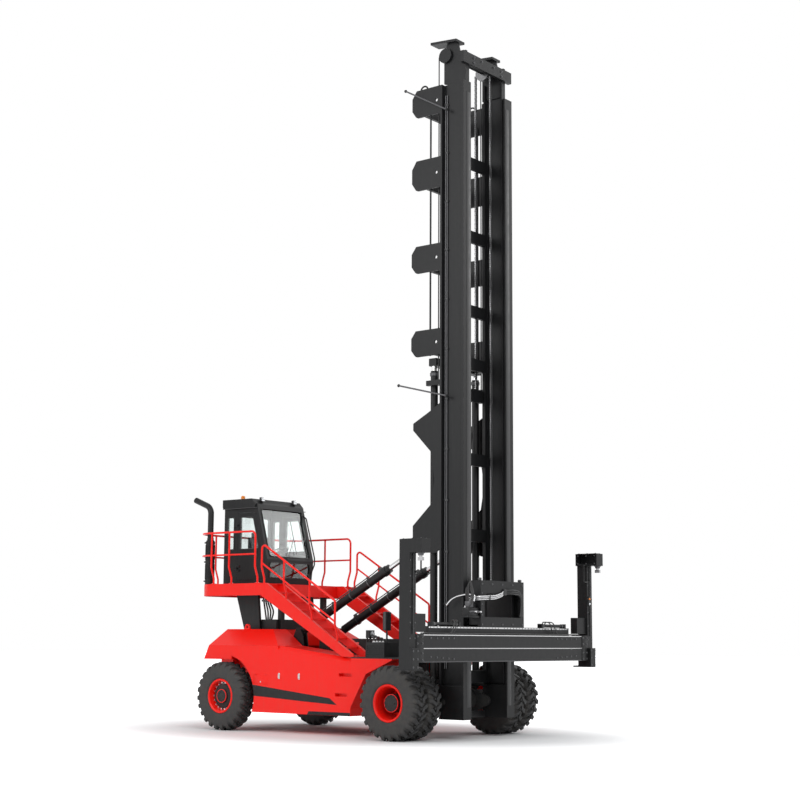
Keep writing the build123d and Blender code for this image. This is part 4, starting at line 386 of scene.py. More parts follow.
def rounded_box(low, high, edge=0.004, segments=2):
    made = bmesh.new()
    bmesh.ops.create_cube(made, size=1)
    low, high = Vector(low), Vector(high)
    size = high - low
    for v in made.verts:
        v.co = Vector((low[i] + (v.co[i] + 0.5) * size[i] for i in range(3)))
    edge = min(edge, 0.3 * min(size))
    bmesh.ops.bevel(made, geom=made.edges[:], offset=edge, segments=segments, profile=0.5, affect="EDGES")
    return taken(made)


def lathe(profile, sides=32):
    """A shape turned round Z from rows of radius and height. A radius of 0 closes it on the axis."""
    points, rings = [], []
    for radius, height in profile:
        rings.append([len(points) + (side if radius else 0) for side in range(sides)])
        for side in range(sides if radius else 1):
            angle = 2 * math.pi * side / sides
            points.append(Vector((radius * math.cos(angle), radius * math.sin(angle), height)))
    faces = []
    for low, high in zip(rings, rings[1:]):
        for side in range(sides):
            corners = [low[side], low[(side + 1) % sides], high[(side + 1) % sides], high[side]]
            faces.append([c for n, c in enumerate(corners) if c not in corners[:n]])
    return points, faces


def hoop(inner, outer, low, high, sides=36):
    """A flat ring with a square section."""
    return lathe(((inner, low), (outer, low), (outer, high), (inner, high), (inner, low)), sides)


def torus(ring, thick, sides):
    """A ring of round section."""
    turns = [math.pi * n / 6 for n in range(13)]
    return lathe([(ring + thick * math.cos(turn), thick * math.sin(turn)) for turn in turns], sides)


def slab(outline, thickness, edge=0.003):
    """A plate with an outline in XY and its thickness along Z, its edges rounded."""
    made = bmesh.new()
    face = made.faces.new([made.verts.new((x, y, 0)) for x, y in outline])
    risen = bmesh.ops.extrude_face_region(made, geom=[face])["geom"]
    bmesh.ops.translate(made, verts=[v for v in risen if isinstance(v, bmesh.types.BMVert)], vec=(0, 0, thickness))
    if edge:
        edge = min(edge, 0.3 * thickness)
        bmesh.ops.bevel(made, geom=made.edges[:], offset=edge, segments=2, profile=0.5, affect="EDGES")
    return taken(made)


def bent(route, bend, steps=5):
    """A route whose corners are rounded."""
    route = [Vector(p) for p in route]
    made = [route[0]]
    for before, corner, after in zip(route, route[1:], route[2:]):
        reach = min(bend, 0.45 * (corner - before).length, 0.45 * (after - corner).length)
        start = corner + (before - corner).normalized() * reach
        end = corner + (after - corner).normalized() * reach
        for step in range(steps + 1):
            t = step / steps
            made.append(start * (1 - t) ** 2 + corner * 2 * t * (1 - t) + end * t * t)
    return made + [route[-1]]


def pipe(route, radius, bend=0.0, sides=10):
    """A closed round pipe along a route."""
    route = bent(route, bend) if bend else [Vector(p) for p in route]
    normal = (route[1] - route[0]).orthogonal().normalized()
    points, faces = [], []
    for n, place in enumerate(route):
        run = (route[min(n + 1, len(route) - 1)] - route[max(n - 1, 0)]).normalized()
        normal = (normal - run * normal.dot(run)).normalized()
        other = run.cross(normal)
        for side in range(sides):
            angle = 2 * math.pi * side / sides
            points.append(place + (normal * math.cos(angle) + other * math.sin(angle)) * radius)
    for n in range(len(route) - 1):
        for side in range(sides):
            first, second = n * sides + side, n * sides + (side + 1) % sides
            faces.append([first, second, second + sides, first + sides])
    faces.append(list(range(sides))[::-1])
    faces.append([(len(route) - 1) * sides + side for side in range(sides)])
    return points, faces


def bolt(radius, height):
    """A hexagon head on a washer, with its seat at Z 0."""
    washer = lathe(((0, 0), (1.45 * radius, 0), (1.45 * radius, 0.18 * height), (0, 0.18 * height)), 14)
    head = lathe(((0, 0), (radius, 0), (radius, 0.85 * height), (0.86 * radius, height), (0, height)), 6)
    shift = len(washer[0])
    return washer[0] + head[0], washer[1] + [[shift + c for c in face] for face in head[1]]


def stand(place, direction=(0, 0, 1)):
    """A turn and place for a stamped shape: its Z axis points along the direction."""
    return Matrix.Translation(Vector(place)) @ Vector(direction).to_track_quat("Z", "Y").to_matrix().to_4x4()


class Pile:
    """Points and faces of one piece while it is put together. Slot numbers one of the piece's materials."""

    def __init__(self):
        self.points, self.faces, self.slots = [], [], []

    def put(self, shape, matrix=Matrix(), slot=0):
        shift = len(self.points)
        self.points.extend(matrix @ p for p in shape[0])
        self.faces.extend([shift + c for c in face] for face in shape[1])
        self.slots.extend([slot] * len(shape[1]))
        return self

    def box(self, low, high, edge=0.004, slot=0, matrix=Matrix(), segments=2, side=1):
        """A box with rounded edges. Its corners are given for the left side, and side -1 puts it on the right."""
        near, far = sorted((side * low[1], side * high[1]))
        return self.put(rounded_box((low[0], near, low[2]), (high[0], far, high[2]), edge, segments), matrix, slot)

    def pipe(self, route, radius, bend=0.0, sides=10, slot=0, matrix=Matrix()):
        return self.put(pipe(route, radius, bend, sides), matrix, slot)

    def bolt(self, place, direction, radius, height, slot=1):
        return self.put(bolt(radius, height), stand(place, direction), slot)


def piece(name, body, pile, materials, crease=32):
    """Makes one object of a pile: outward faces, soft shading with creases kept, and its ride on a body."""
    mesh = bpy.data.meshes.new(name)
    mesh.from_pydata([tuple(p) for p in pile.points], [], pile.faces)
    mesh.polygons.foreach_set("material_index", pile.slots)
    made = bmesh.new()
    made.from_mesh(mesh)
    bmesh.ops.remove_doubles(made, verts=made.verts[:], dist=1e-5)
    bmesh.ops.recalc_face_normals(made, faces=made.faces[:])
    for face in made.faces:
        face.smooth = True
    for edge in made.edges:
        edge.smooth = edge.calc_face_angle(math.pi) < math.radians(crease)
    made.to_mesh(mesh)
    made.free()
    for material in materials:
        mesh.materials.append(material)
    made_object = bpy.data.objects.new(name, mesh)
    bpy.context.scene.collection.objects.link(made_object)
    if body:
        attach(made_object, body)
    return made_object


rubber, rin, rout = group_of("cured_rubber", (("Axle X", FLOAT, 0.0), ("Dustiness", FLOAT, 0.5)), SURFACE)
rubber_spot = object_place(rubber)
rubber_parts = add_node(rubber, "ShaderNodeSeparateXYZ", Vector=rubber_spot)
axle_z = 0.684
from_axle_x = calc(rubber, "SUBTRACT", rubber_parts.outputs["X"], rin.outputs["Axle X"])
from_axle_z = calc(rubber, "SUBTRACT", rubber_parts.outputs["Z"], axle_z)
from_axle = calc(rubber, "ADD", times(rubber, from_axle_x, from_axle_x), times(rubber, from_axle_z, from_axle_z))
from_axle = calc(rubber, "SQRT", from_axle)
groove = spread(rubber, from_axle, 0.682, 0.655)
wall = spread(rubber, from_axle, 0.62, 0.58)
rubber_dust = times(rubber, calc(rubber, "MAXIMUM", times(rubber, groove, 0.8), times(rubber, wall, 0.55)),
                    spread(rubber, noise(rubber, rubber_spot, 9, 7, 0.62), 0.32, 0.72), rin.outputs["Dustiness"])
rings = times(rubber, calc(rubber, "SINE", times(rubber, from_axle, 900.0)), spread(rubber, from_axle, 0.56, 0.52))
rubber_colour = blend(rubber, rubber_dust, (0.020, 0.020, 0.021, 1), (0.105, 0.095, 0.083, 1))
rubber_greyed = spread(rubber, noise(rubber, rubber_spot, 3, 4), 0.4, 0.8, 0.0, 0.35)
rubber_colour = blend(rubber, rubber_greyed, rubber_colour, (0.045, 0.044, 0.043, 1))
rubber_bump = calc(rubber, "ADD", times(rubber, rings, 0.35), noise(rubber, rubber_spot, 220, 3))
feed(rubber, rout, {"Color": rubber_colour, "Roughness": spread(rubber, rubber_dust, 0.0, 0.6, 0.58, 0.88),
                    "Normal": bumped(rubber, rubber_bump, 0.22, 0.0015)})
drive_outer_y, drive_inner_y, steer_y, steer_x = 1.8125, 1.3825, 1.4125, -4.7
drive_rubber = grouped("drive_rubber", rubber, {"Specular IOR Level": 0.4}, Axle_X=0.0, Dustiness=0.6)
steer_rubber = grouped("steer_rubber", rubber, {"Specular IOR Level": 0.4}, Axle_X=steer_x, Dustiness=0.5)

carcass_rows = ((0.345, -0.150), (0.352, -0.168), (0.372, -0.176), (0.376, -0.183), (0.398, -0.185), (0.470, -0.1872),
                (0.540, -0.1870), (0.585, -0.183), (0.608, -0.172), (0.626, -0.150), (0.636, -0.110), (0.640, -0.060),
                (0.641, 0.0))
carcass = lathe(carcass_rows + tuple((r, -y) for r, y in carcass_rows[-2::-1]) + (carcass_rows[0],), 96)
lug_count = 24
# Stations across one lug from the middle out: place, top radius, half width as a share of the pitch, lean
lug_stations = ((0.002, 0.684, 0.20, -0.10), (0.030, 0.684, 0.22, -0.06), (0.062, 0.684, 0.235, 0.06),
                (0.098, 0.6835, 0.235, 0.22), (0.131, 0.681, 0.23, 0.30), (0.160, 0.667, 0.23, 0.34),
                (0.178, 0.648, 0.22, 0.35), (0.1868, 0.622, 0.20, 0.35), (0.1872, 0.592, 0.17, 0.35),
                (0.1866, 0.566, 0.12, 0.35))
lug_root, lug_side_share, shoulder_y = 0.630, 0.05, 0.17
lug_chamfer_share, lug_chamfer_height, lug_depth = 0.05, 0.007, 0.035
lug_points, lug_faces = [], []
for across_y, top, half_share, lean in lug_stations:
    root = min(lug_root, top - 0.02) if across_y < shoulder_y else top - lug_depth
    flat, low_top, foot = half_share - lug_chamfer_share, top - lug_chamfer_height, half_share + lug_side_share
    for radius, share in ((root, -foot), (low_top, -half_share), (top, -flat), (top, flat), (low_top, half_share),
                          (root, foot)):
        angle = (share + lean) * 2 * math.pi / lug_count
        lug_points.append(Vector((radius * math.cos(angle), radius * math.sin(angle), across_y)))
row = 6
for station in range(len(lug_stations) - 1):
    for n in range(row):
        first, second = station * row + n, station * row + (n + 1) % row
        lug_faces.append([first, second, second + row, first + row])
lug_faces.append(list(range(row)))
lug_faces.append([(len(lug_stations) - 1) * row + n for n in range(row)])
lug = (lug_points, lug_faces)
# Small blocks between the lugs' inner ends
key_block = rounded_box((0.636, -0.020, 0.012), (0.676, 0.020, 0.046), 0.006)


def tyre_at(pile, place, side):
    """Adds one tyre to a pile, with its axis along Y."""
    out = stand(place, (0, side, 0))
    pile.put(carcass, out)
    for half in (1, -1):
        flip = Matrix.Scale(half, 4, (0, 0, 1))
        for n in range(lug_count):
            spin = 2 * math.pi * (n + (0.5 if half < 0 else 0)) / lug_count * half
            pile.put(lug, out @ Matrix.Rotation(spin, 4, "Z") @ flip)
            pile.put(key_block, out @ Matrix.Rotation(spin + math.pi / lug_count, 4, "Z") @ flip)


for name, side in SIDES:
    pile = Pile()
    for middle in (drive_outer_y, drive_inner_y):
        tyre_at(pile, (0, side * middle, axle_z), side)
    made = piece(f"drive_tread_{name}", f"drive_wheels_{name}", pile, [drive_rubber])
    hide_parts(f"drive_tyres_{name}")
    pile = Pile()
    tyre_at(pile, (steer_x, side * steer_y, axle_z), side)
    made = piece(f"steer_tread_{name}", f"steer_wheel_{name}", pile, [steer_rubber])
    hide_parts(f"steer_tyre_{name}")


# Wheels: a lock ring on each rim, black hub covers over the planetary drives and steered hubs, and wheel nuts.
# All are turned steel, bolted to the rims.
def ring_of(pile, shape, count, circle, height, frame_at):
    """Stamps a shape round an axis."""
    for n in range(count):
        angle = 2 * math.pi * n / count
        pile.put(shape, frame_at @ Matrix.Translation((circle * math.cos(angle), circle * math.sin(angle), height)))


def on_side(side, y):
    """From an outline in XZ, with its thickness outward, onto a side face."""
    return Matrix(((1, 0, 0, 0), (0, 0, side, y * side), (0, 1, 0, 0), (0, 0, 0, 1)))


drive_lock_rows = ((0.331, 1.900), (0.345, 1.955), (0.346, 1.976), (0.338, 1.986), (0.318, 1.988), (0.304, 1.978),
                   (0.292, 1.950), (0.284, 1.900), (0.280, 1.800), (0.284, 1.560), (0.331, 1.545), (0.331, 1.900))
steer_lock_rows = ((0.331, 1.500), (0.345, 1.556), (0.346, 1.576), (0.338, 1.586), (0.318, 1.588), (0.302, 1.578),
                   (0.294, 1.550), (0.290, 1.500), (0.290, 1.4535), (0.331, 1.4535), (0.331, 1.500))
drive_hub_rows = ((0, 1.890), (0.055, 1.890), (0.060, 1.886), (0.120, 1.887), (0.150, 1.885), (0.164, 1.875),
                  (0.169, 1.856), (0.169, 1.62), (0.182, 1.60), (0.182, 1.585), (0.169, 1.57), (0.185, 1.555),
                  (0.196, 1.540), (0.196, 1.524), (0, 1.524))
steer_hub_rows = ((0, 1.558), (0.040, 1.558), (0.046, 1.551), (0.100, 1.549), (0.128, 1.541), (0.140, 1.527),
                  (0.143, 1.500), (0.232, 1.497), (0.243, 1.490), (0.243, 1.455), (0, 1.455))
cover_bolt = bolt(0.011, 0.012)
for name, side in SIDES:
    body, out = f"drive_wheels_{name}", stand((0, 0, axle_z), (0, side, 0))
    piece(f"drive_lock_ring_{name}", body, Pile().put(lathe(drive_lock_rows, 72), out), [red_enamel])
    hub, nuts = Pile().put(lathe(drive_hub_rows, 56), out), Pile()
    ring_of(hub, cover_bolt, 12, 0.140, 1.886, out)
    hub.put(bolt(0.016, 0.016), out @ Matrix.Translation((0.085, 0, 1.885)))
    # The nuts stand over those of the solid rim, so their first one lies where the solid's does
    ring_of(nuts, bolt(0.019, 0.040), 10, 0.225, 1.522, Matrix.Translation((0, 0, axle_z)) @ on_side(side, 0))
    piece(f"drive_hub_cover_{name}", body, hub, [cast_iron])
    piece(f"drive_nuts_{name}", body, nuts, [oiled_steel])
    body, out = f"steer_wheel_{name}", stand((steer_x, 0, axle_z), (0, side, 0))
    piece(f"steer_lock_ring_{name}", body, Pile().put(lathe(steer_lock_rows, 72), out), [red_enamel])
    hub, nuts = Pile().put(lathe(steer_hub_rows, 56), out), Pile()
    ring_of(hub, cover_bolt, 8, 0.085, 1.549, out)
    ring_of(nuts, bolt(0.021, 0.034), 18, 0.266, 1.4535, out)
    piece(f"steer_hub_cover_{name}", body, hub, [cast_iron])
    piece(f"steer_nuts_{name}", body, nuts, [bright_steel])

# Body sides: a black painted band that narrows to the front, a service hatch with hinges, two latches and a dark
# sill strip. They are sheet steel a few millimetres proud of the wall.
body_y = 1.45
band_outline = ((-3.912, 0.924), (-3.384, 0.871), (-2.633, 0.793), (-1.870, 0.715), (-1.790, 0.664), (-1.685, 0.591),
                (-2.630, 0.639), (-3.433, 0.685), (-3.879, 0.706))
sill_outline = ((-2.44, 0.389), (-1.345, 0.389), (-1.345, 0.452), (-2.40, 0.452))
hatch_outline = ((-3.90, 0.955), (-3.50, 0.930), (-3.50, 1.10), (-3.52, 1.12), (-3.88, 1.12), (-3.90, 1.10))
for name, side in SIDES:
    face = on_side(side, body_y)
    band = Pile().put(slab(band_outline, 0.002, 0), face).put(slab(sill_outline, 0.003, 0), face)
    piece(f"side_band_{name}", "chassis", band, [black_enamel])
    hatch = Pile().put(slab(hatch_outline, 0.004, 0.0015), face)
    for x in (-3.84, -3.56):
        hatch.pipe(((x - 0.03, 1.128, 0.006), (x + 0.03, 1.128, 0.006)), 0.007, sides=8, matrix=face)
    piece(f"side_hatch_{name}", "chassis", hatch, [red_enamel])
    latches = Pile()
    for x in (-3.200, -2.667):
        latch_outline = ((x - 0.022, 1.052), (x + 0.022, 1.052), (x + 0.022, 1.168), (x - 0.022, 1.168))
        latches.put(slab(latch_outline, 0.004), face)
        grip = ((x, 1.070, 0.002), (x, 1.072, 0.026), (x, 1.148, 0.026), (x, 1.150, 0.002))
        latches.pipe(grip, 0.007, 0.012, matrix=face)
    latches.put(bolt(0.010, 0.010), face @ Matrix.Translation((-3.70, 0.985, 0.003)))
    piece(f"side_latches_{name}", "chassis", latches, [bright_steel])

# Rear lamps on the counterweight: a moulded housing a side, half sunk in its rear face, with a red and an amber
# lens of ribbed plastic that stand out of it
for name, side in SIDES:
    lamps = Pile().box((-5.735, 0.60, 1.500), (-5.655, 0.84, 1.620), 0.010, side=side)
    for slot, inner, outer in ((1, 0.612, 0.718), (2, 0.724, 0.828)):
        lamps.box((-5.744, inner, 1.510), (-5.730, outer, 1.610), 0.005, slot, side=side)
    piece(f"rear_lamps_{name}", "chassis", lamps, [black_plastic, red_lens, amber_lens])

# On the deck: the work lamp's lens and bezel, the mirror's glass in its housing, the tank's straps and cap, and the
# pipes that run from the louvred box and the tank to the mast's foot
deck_z, tank_x, box_x = 1.5, -0.86, -0.94
fittings = Pile()
lamp_at = stand((-1.046, -1.18, 1.935), (1, 0, 0))
fittings.put(lathe(((0, 0), (0.066, 0), (0.068, 0.012), (0.060, 0.020), (0.056, 0.012), (0, 0.012)), 32), lamp_at)
fittings.put(lathe(((0, 0.011), (0.056, 0.011), (0.040, 0.018), (0, 0.022)), 32), lamp_at, 1)
fittings.box((-0.655, -1.332, 2.002), (-0.585, -1.168, 2.358), 0.022, segments=3)
mirror_at = Matrix(((0, 0, 1, -0.662), (1, 0, 0, -1.25), (0, 1, 0, 2.18), (0, 0, 0, 1)))
mirror_outline = ((-0.066, -0.160), (0.066, -0.160), (0.066, 0.160), (-0.066, 0.160))
fittings.put(slab(mirror_outline, 0.003, 0.001), mirror_at, 2)
for y in (0.82, 1.20):
    fittings.put(hoop(0.1505, 0.155, -0.02, 0.02, 40), stand((tank_x, y, 1.71), (0, 1, 0)), 3)
fittings.put(lathe(((0, 0.04), (0.045, 0.04), (0.050, 0.032), (0.050, 0.006), (0.036, 0.0), (0.036, -0.02), (0, -0.02)),
                   24), stand((tank_x, 1.0, 1.862)))
piece("deck_fittings", "chassis", fittings, [black_plastic, clear_lens, mirror_glass, bright_steel])
lines = Pile()
for n in range(4):
    y, top = -0.98 - 0.09 * n, 1.86 + 0.02 * n
    lines.pipe(((box_x, y, 1.782), (box_x, y, top), (-1.18, y + 0.10, top), (-1.26, y + 0.16, 1.60),
                (-1.26, y + 0.16, deck_z + 0.002)), 0.016, 0.09)
    lines.bolt((box_x, y, 1.781), (0, 0, 1), 0.022, 0.03)
for n in range(3):
    inward, z = 0.03 * n, 1.68 + 0.05 * n
    lines.pipe(((tank_x, 0.694, z), (tank_x, 0.62 - inward, z), (-0.50, 0.58 - inward, 1.60 + inward),
                (-0.30, 0.56 - inward, deck_z + 0.002)), 0.014, 0.07)
piece("deck_pipes", "chassis", lines, [hose_rubber, bright_steel])

# Service lines: four rubber hoses between the platform and the body, held by one steel clip. They hang in soft
# bends between the sides of the cab's support, at its front.
services = Pile()
for n in range(4):
    y = -0.50 - 0.055 * n
    services.pipe(((-4.42, y, 2.935), (-4.40, y, 2.62), (-4.26 - 0.03 * n, y, 2.40), (-4.30, y - 0.02, 2.24),
                   (-4.30, y - 0.02, 2.231)), 0.017, 0.14)
services.box((-4.43, -0.70, 2.60), (-4.385, -0.48, 2.64), 0.008, 1)
piece("service_lines", "chassis", services, [hose_rubber, bright_steel])

# Rail feet: each post of the handrails stands on a small red steel plate, which is welded to it and held on the
# platform by two bolts
foot_low_z, foot_top_z = 2.9505, 2.960
feet = Pile()
for x, y in [(x, side * 1.41) for side in (-1, 1) for x in (-3.88, -4.619, -5.130)]:
    feet.box((x - 0.050, y - 0.036, foot_low_z), (x + 0.050, y + 0.036, foot_top_z), 0.003)
    for shift in (-0.035, 0.035):
        feet.bolt((x + shift, y, foot_top_z), (0, 0, 1), 0.008, 0.009)
piece("rail_feet", "chassis", feet, [red_enamel, bright_steel])

# Cab trim: black rubber seals round every pane, a wiper, two work lamps on the brow and a gutter along the roof.
# The seals of the door panes ride on their doors.
waist_z, brow_z, waist_x, brow_x, base_x, cab_floor_z = 3.48, 4.64, -4.27, -4.59, -4.33, 2.95
cab_y = 0.72


def front_face(z):
    """X of the cab's front at a height, as in the solid."""
    if z < waist_z:
        return base_x + (z - cab_floor_z) / (waist_z - cab_floor_z) * (waist_x - base_x)
    return waist_x + (z - waist_z) / (brow_z - waist_z) * (brow_x - waist_x)


def seal(pile, corners):
    """A rubber section round a pane: the corners are rounded and the ends meet in the middle of the first side."""
    corners = [Vector(c) for c in corners]
    middle = (corners[0] + corners[-1]) / 2
    pile.pipe([middle] + corners + [middle], 0.011, 0.05, 8)


def upright(low, high):
    """Corners of a pane across the cab, as Y and Z."""
    return (0.63, low), (0.63, high), (-0.63, high), (-0.63, low)


def side_pane(side, rear, front_high, front_low):
    """Corners of a pane in a side wall or door."""
    corners = ((rear, 3.70), (rear, 4.38), (front_high, 4.38), (front_low, 3.70))
    return [(x, side * (cab_y + 0.003), z) for x, z in corners]


seals = Pile()
for low, high in ((3.10, 3.42), (3.54, 4.55)):
    seal(seals, [(front_face(z) + 0.004, y, z) for y, z in upright(low, high)])
seal(seals, [(-5.544, y, z) for y, z in upright(3.53, 4.44)])
for name, side in SIDES:
    seal(seals, side_pane(side, -5.435, -5.25, -5.25))
piece("window_seals", "chassis", seals, [seal_rubber])
for name, side in SIDES:
    trim = Pile()
    seal(trim, side_pane(side, -5.06, front_face(4.38) - 0.18, front_face(3.70) - 0.18))
    trim.box((-4.62, 0.719, 3.52), (-4.56, 0.732, 3.60), 0.006, 1, side=side)
    piece(f"door_trim_{name}", f"door_{name}", trim, [seal_rubber, black_plastic])

lean = Vector((brow_x - waist_x, 0, brow_z - waist_z)).normalized()
wiper = Pile()
pivot = Vector((front_face(3.51) + 0.030, -0.10, 3.51))
blade_foot = Vector((front_face(3.62) + 0.018, 0.20, 3.62))
blade_head = blade_foot + lean * 0.72
wiper.put(lathe(((0, 0.0), (0.026, 0.0), (0.026, 0.014), (0.014, 0.026), (0, 0.026)), 20),
          stand(pivot - Vector((0.028, 0, 0)), (1, 0, 0.3)))
wiper.pipe((pivot, (blade_foot + blade_head) / 2 + Vector((0.012, 0, 0))), 0.006, sides=8)
wiper.pipe((blade_foot, blade_foot + lean * 0.18, blade_foot + lean * 0.54, blade_head), 0.007, sides=6)
piece("windscreen_wiper", "chassis", wiper, [black_plastic])
roof_trim = Pile()
for y in (-0.50, 0.50):
    lamp_at = Matrix.Translation((-4.66, y, 4.745))
    roof_trim.box((-0.035, -0.055, -0.035), (0.035, 0.055, 0.055), 0.014, matrix=lamp_at, segments=3)
    roof_trim.box((0.031, -0.046, -0.026), (0.040, 0.046, 0.046), 0.004, 1, lamp_at)
    roof_trim.pipe(((-0.01, -0.06, -0.03), (-0.01, -0.06, 0.0), (-0.01, 0.0, 0.0)), 0.006, 0.01, 6, matrix=lamp_at)
for side in (-1, 1):
    roof_trim.pipe(((-5.56, side * 0.758, 4.566), (-4.56, side * 0.758, 4.566)), 0.008, sides=8)
piece("roof_trim", "chassis", roof_trim, [black_plastic, clear_lens])

# Beacon: a ribbed dome of amber plastic on a black base, both turned shapes, on the cab's roof. It stands in place
# of the plain solid.
beacon_at = Matrix.Translation((-5.30, -0.42, 4.7628))
dome = Pile().put(lathe(((0, 0), (0.058, 0), (0.058, 0.018), (0.050, 0.024), (0, 0.024)), 40), beacon_at)
dome_rows = [(0.046 - 0.0015 * (n % 2), 0.024 + 0.005 * n) for n in range(13)]
dome.put(lathe([(0, 0.022)] + dome_rows + [(0.040, 0.096), (0.028, 0.105), (0, 0.1085)], 40), beacon_at, 1)
made = piece("beacon_dome", "chassis", dome, [black_plastic, amber_lens])
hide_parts("beacon")

# Seat: cloth cushion, back and head pad with sewn channels on a black pan, with armrests, over a suspension base.
# It stands with the consoles, column and wheel in place of the plain interior solid.
weave, win, wout = group_of("seat_weave", (("Thread", COLOR, (0.05, 0.05, 0.055, 1)),
                                           ("Second", COLOR, (0.10, 0.10, 0.11, 1))), SURFACE)
weave_parts = add_node(weave, "ShaderNodeSeparateXYZ", Vector=object_place(weave))
weave_pitch = 1500.0
weave_run = calc(weave, "ADD", weave_parts.outputs["X"], weave_parts.outputs["Z"])
thread = times(weave, calc(weave, "SINE", times(weave, weave_run, weave_pitch)),
               calc(weave, "SINE", times(weave, weave_parts.outputs["Y"], weave_pitch)))
feed(weave, wout, {
    "Color": blend(weave, spread(weave, thread, -0.6, 0.6), win.outputs["Thread"], win.outputs["Second"]),
    "Roughness": spread(weave, thread, -1.0, 1.0, 0.78, 0.92), "Normal": bumped(weave, thread, 0.4, 0.0006)})
seat_cloth = grouped("seat_cloth", weave, {"Sheen Weight": 0.4})


def pad(length, width, height, channels=(), steps=28):
    """A stuffed cushion with crowned faces, rounded sides that pull in at its corners, and sewn channels."""
    points, faces = [], []
    for face in (1, -1):
        shift = len(points)
        for i in range(steps + 1):
            for j in range(steps + 1):
                u, v = math.sin(math.pi / 2 * (2 * i / steps - 1)), math.sin(math.pi / 2 * (2 * j / steps - 1))
                edge = ((1 - abs(u) ** 5) * (1 - abs(v) ** 5)) ** 0.45
                crown = 1 + 0.16 * (1 - u * u) * (1 - v * v)
                sewn = sum(0.16 * math.exp(-((v - c) / 0.05) ** 2) for c in channels)
                pull = 1 - 0.04 * u * u * v * v
                rise = face * height / 2 * edge * (crown / 1.16 - sewn * edge)
                points.append(Vector((length / 2 * u * pull, width / 2 * v * pull, rise)))
        for i in range(steps):
            for j in range(steps):
                corner = shift + i * (steps + 1) + j
                faces.append([corner, corner + 1, corner + steps + 2, corner + steps + 1][::face])
    return points, faces


def soft_piece(name, shape, matrix):
    made = piece(name, "chassis", Pile().put(shape, matrix), [seat_cloth], crease=70)


seat_x, cushion_fill, pad_fill = -5.0, 0.7, 0.8
back_turn = Matrix.Rotation(-(math.pi / 2 + math.atan2(0.055, 0.60)), 4, "Y")
back_at, head_at = (Matrix.Translation(place) @ back_turn for place in ((-5.264, 0, 3.735), (-5.292, 0, 4.032)))
cushion_at = Matrix.Translation((seat_x, 0, 3.446))
soft_piece("seat_cushion", pad(0.46, 0.475, 0.105, (-0.62, 0.62)), cushion_at)
soft_piece("seat_back", pad(0.52, 0.465, 0.105, (-0.60, 0.60)), back_at)
soft_piece("head_pad", pad(0.13, 0.27, 0.085), head_at)
for name, side in SIDES:
    arm_pad_at = Matrix.Translation((-5.07, side * 0.272, 3.682))
    soft_piece(f"arm_pad_{name}", pad(0.30, 0.075, 0.042), arm_pad_at)

# Around the seat: pan, bellows and slides, a console a side with its stick and buttons, the column with its wheel
# and two pedals, the screen on its bracket and the floor mat. They are moulded plastic and painted steel.
fold_height, stick_y, button_pitch, button_length = 0.055, 0.275, 0.028, 0.018
wheel_tilt, pedal_tilt, screen_turn = math.radians(-25), math.radians(-48), math.radians(-28)
interior = Pile()
interior.box((-5.225, -0.225, 3.378), (-4.785, 0.225, 3.404), 0.010)
interior.box((-5.340, -0.205, 3.42), (-5.300, 0.205, 3.98), 0.016)
for n in range(5):
    fold, z = 0.145 - 0.012 * (n % 2), 3.10 + fold_height * n
    interior.box((seat_x - fold, -fold, z), (seat_x + fold, fold, z + fold_height), 0.018)
interior.box((-5.16, -0.17, 2.997), (-4.84, 0.17, 3.045), 0.010)
stick = lathe(((0, 0), (0.036, 0), (0.032, 0.012), (0.022, 0.020), (0.014, 0.030), (0.010, 0.034), (0.010, 0.085),
               (0.018, 0.095), (0.022, 0.120), (0.021, 0.150), (0.014, 0.166), (0, 0.170)), 20)
for side in (-1, 1):
    interior.box((-5.16, 0.13, 3.04), (-4.84, 0.17, 3.10), 0.006, 1, side=side)
    interior.box((-5.235, 0.222, 3.45), (-4.765, 0.328, 3.655), 0.022, segments=3, side=side)
    interior.put(stick, stand((-4.83, side * stick_y, 3.655), (0.12, 0, 1)))
    for n in range(4):
        x, colour_slot = -4.955 + button_pitch * n, 2 if n == 1 else 1
        interior.box((x, 0.265, 3.653), (x + button_length, 0.285, 3.663), 0.002, colour_slot, side=side)
column_head = Vector((-4.605, 0, 3.655))
interior.box((-4.61, -0.09, 2.997), (-4.43, 0.09, 3.17), 0.02, segments=3)
interior.pipe(((-4.52, 0, 3.09), column_head), 0.034, sides=20)
interior.box((-4.66, -0.06, 3.50), (-4.54, 0.06, 3.60), 0.024, segments=3)
for side in (-1, 1):
    lever_head = column_head + Vector((-0.01, side * 0.13, -0.06))
    interior.pipe((column_head - Vector((0, 0, 0.09)), lever_head), 0.008, sides=8)
wheel_at = Matrix.Translation((-4.61, 0, 3.67)) @ Matrix.Rotation(wheel_tilt, 4, "Y")
boss_rows = ((0, 0.022), (0.030, 0.020), (0.044, 0.008), (0.046, -0.012), (0.030, -0.024), (0, -0.026))
interior.put(torus(0.19, 0.0145, 56), wheel_at).put(lathe(boss_rows, 28), wheel_at)
for n in range(3):
    outward = Vector((math.cos(2 * math.pi * n / 3 + math.pi), math.sin(2 * math.pi * n / 3 + math.pi), 0))
    spoke = ((0, 0, -0.004), outward * 0.10 + Vector((0, 0, -0.012)), outward * 0.186)
    interior.pipe(spoke, 0.009, 0.03, 8, matrix=wheel_at)
interior.put(lathe(((0, 0), (0.014, 0), (0.018, 0.020), (0.016, 0.040), (0, 0.044)), 16),
             wheel_at @ Matrix.Translation((0.13, 0.13, 0.006)))
for y in (-0.20, 0.20):
    pedal_at = Matrix.Translation((-4.50, y, 3.08)) @ Matrix.Rotation(pedal_tilt, 4, "Y")
    interior.box((-0.05, -0.035, -0.006), (0.05, 0.035, 0.006), 0.004, 1, pedal_at)
screen_at = Matrix.Translation((-4.63, -0.46, 3.86)) @ Matrix.Rotation(screen_turn, 4, "Z")
interior.box((-0.018, -0.13, -0.09), (0.018, 0.13, 0.09), 0.008, matrix=screen_at)
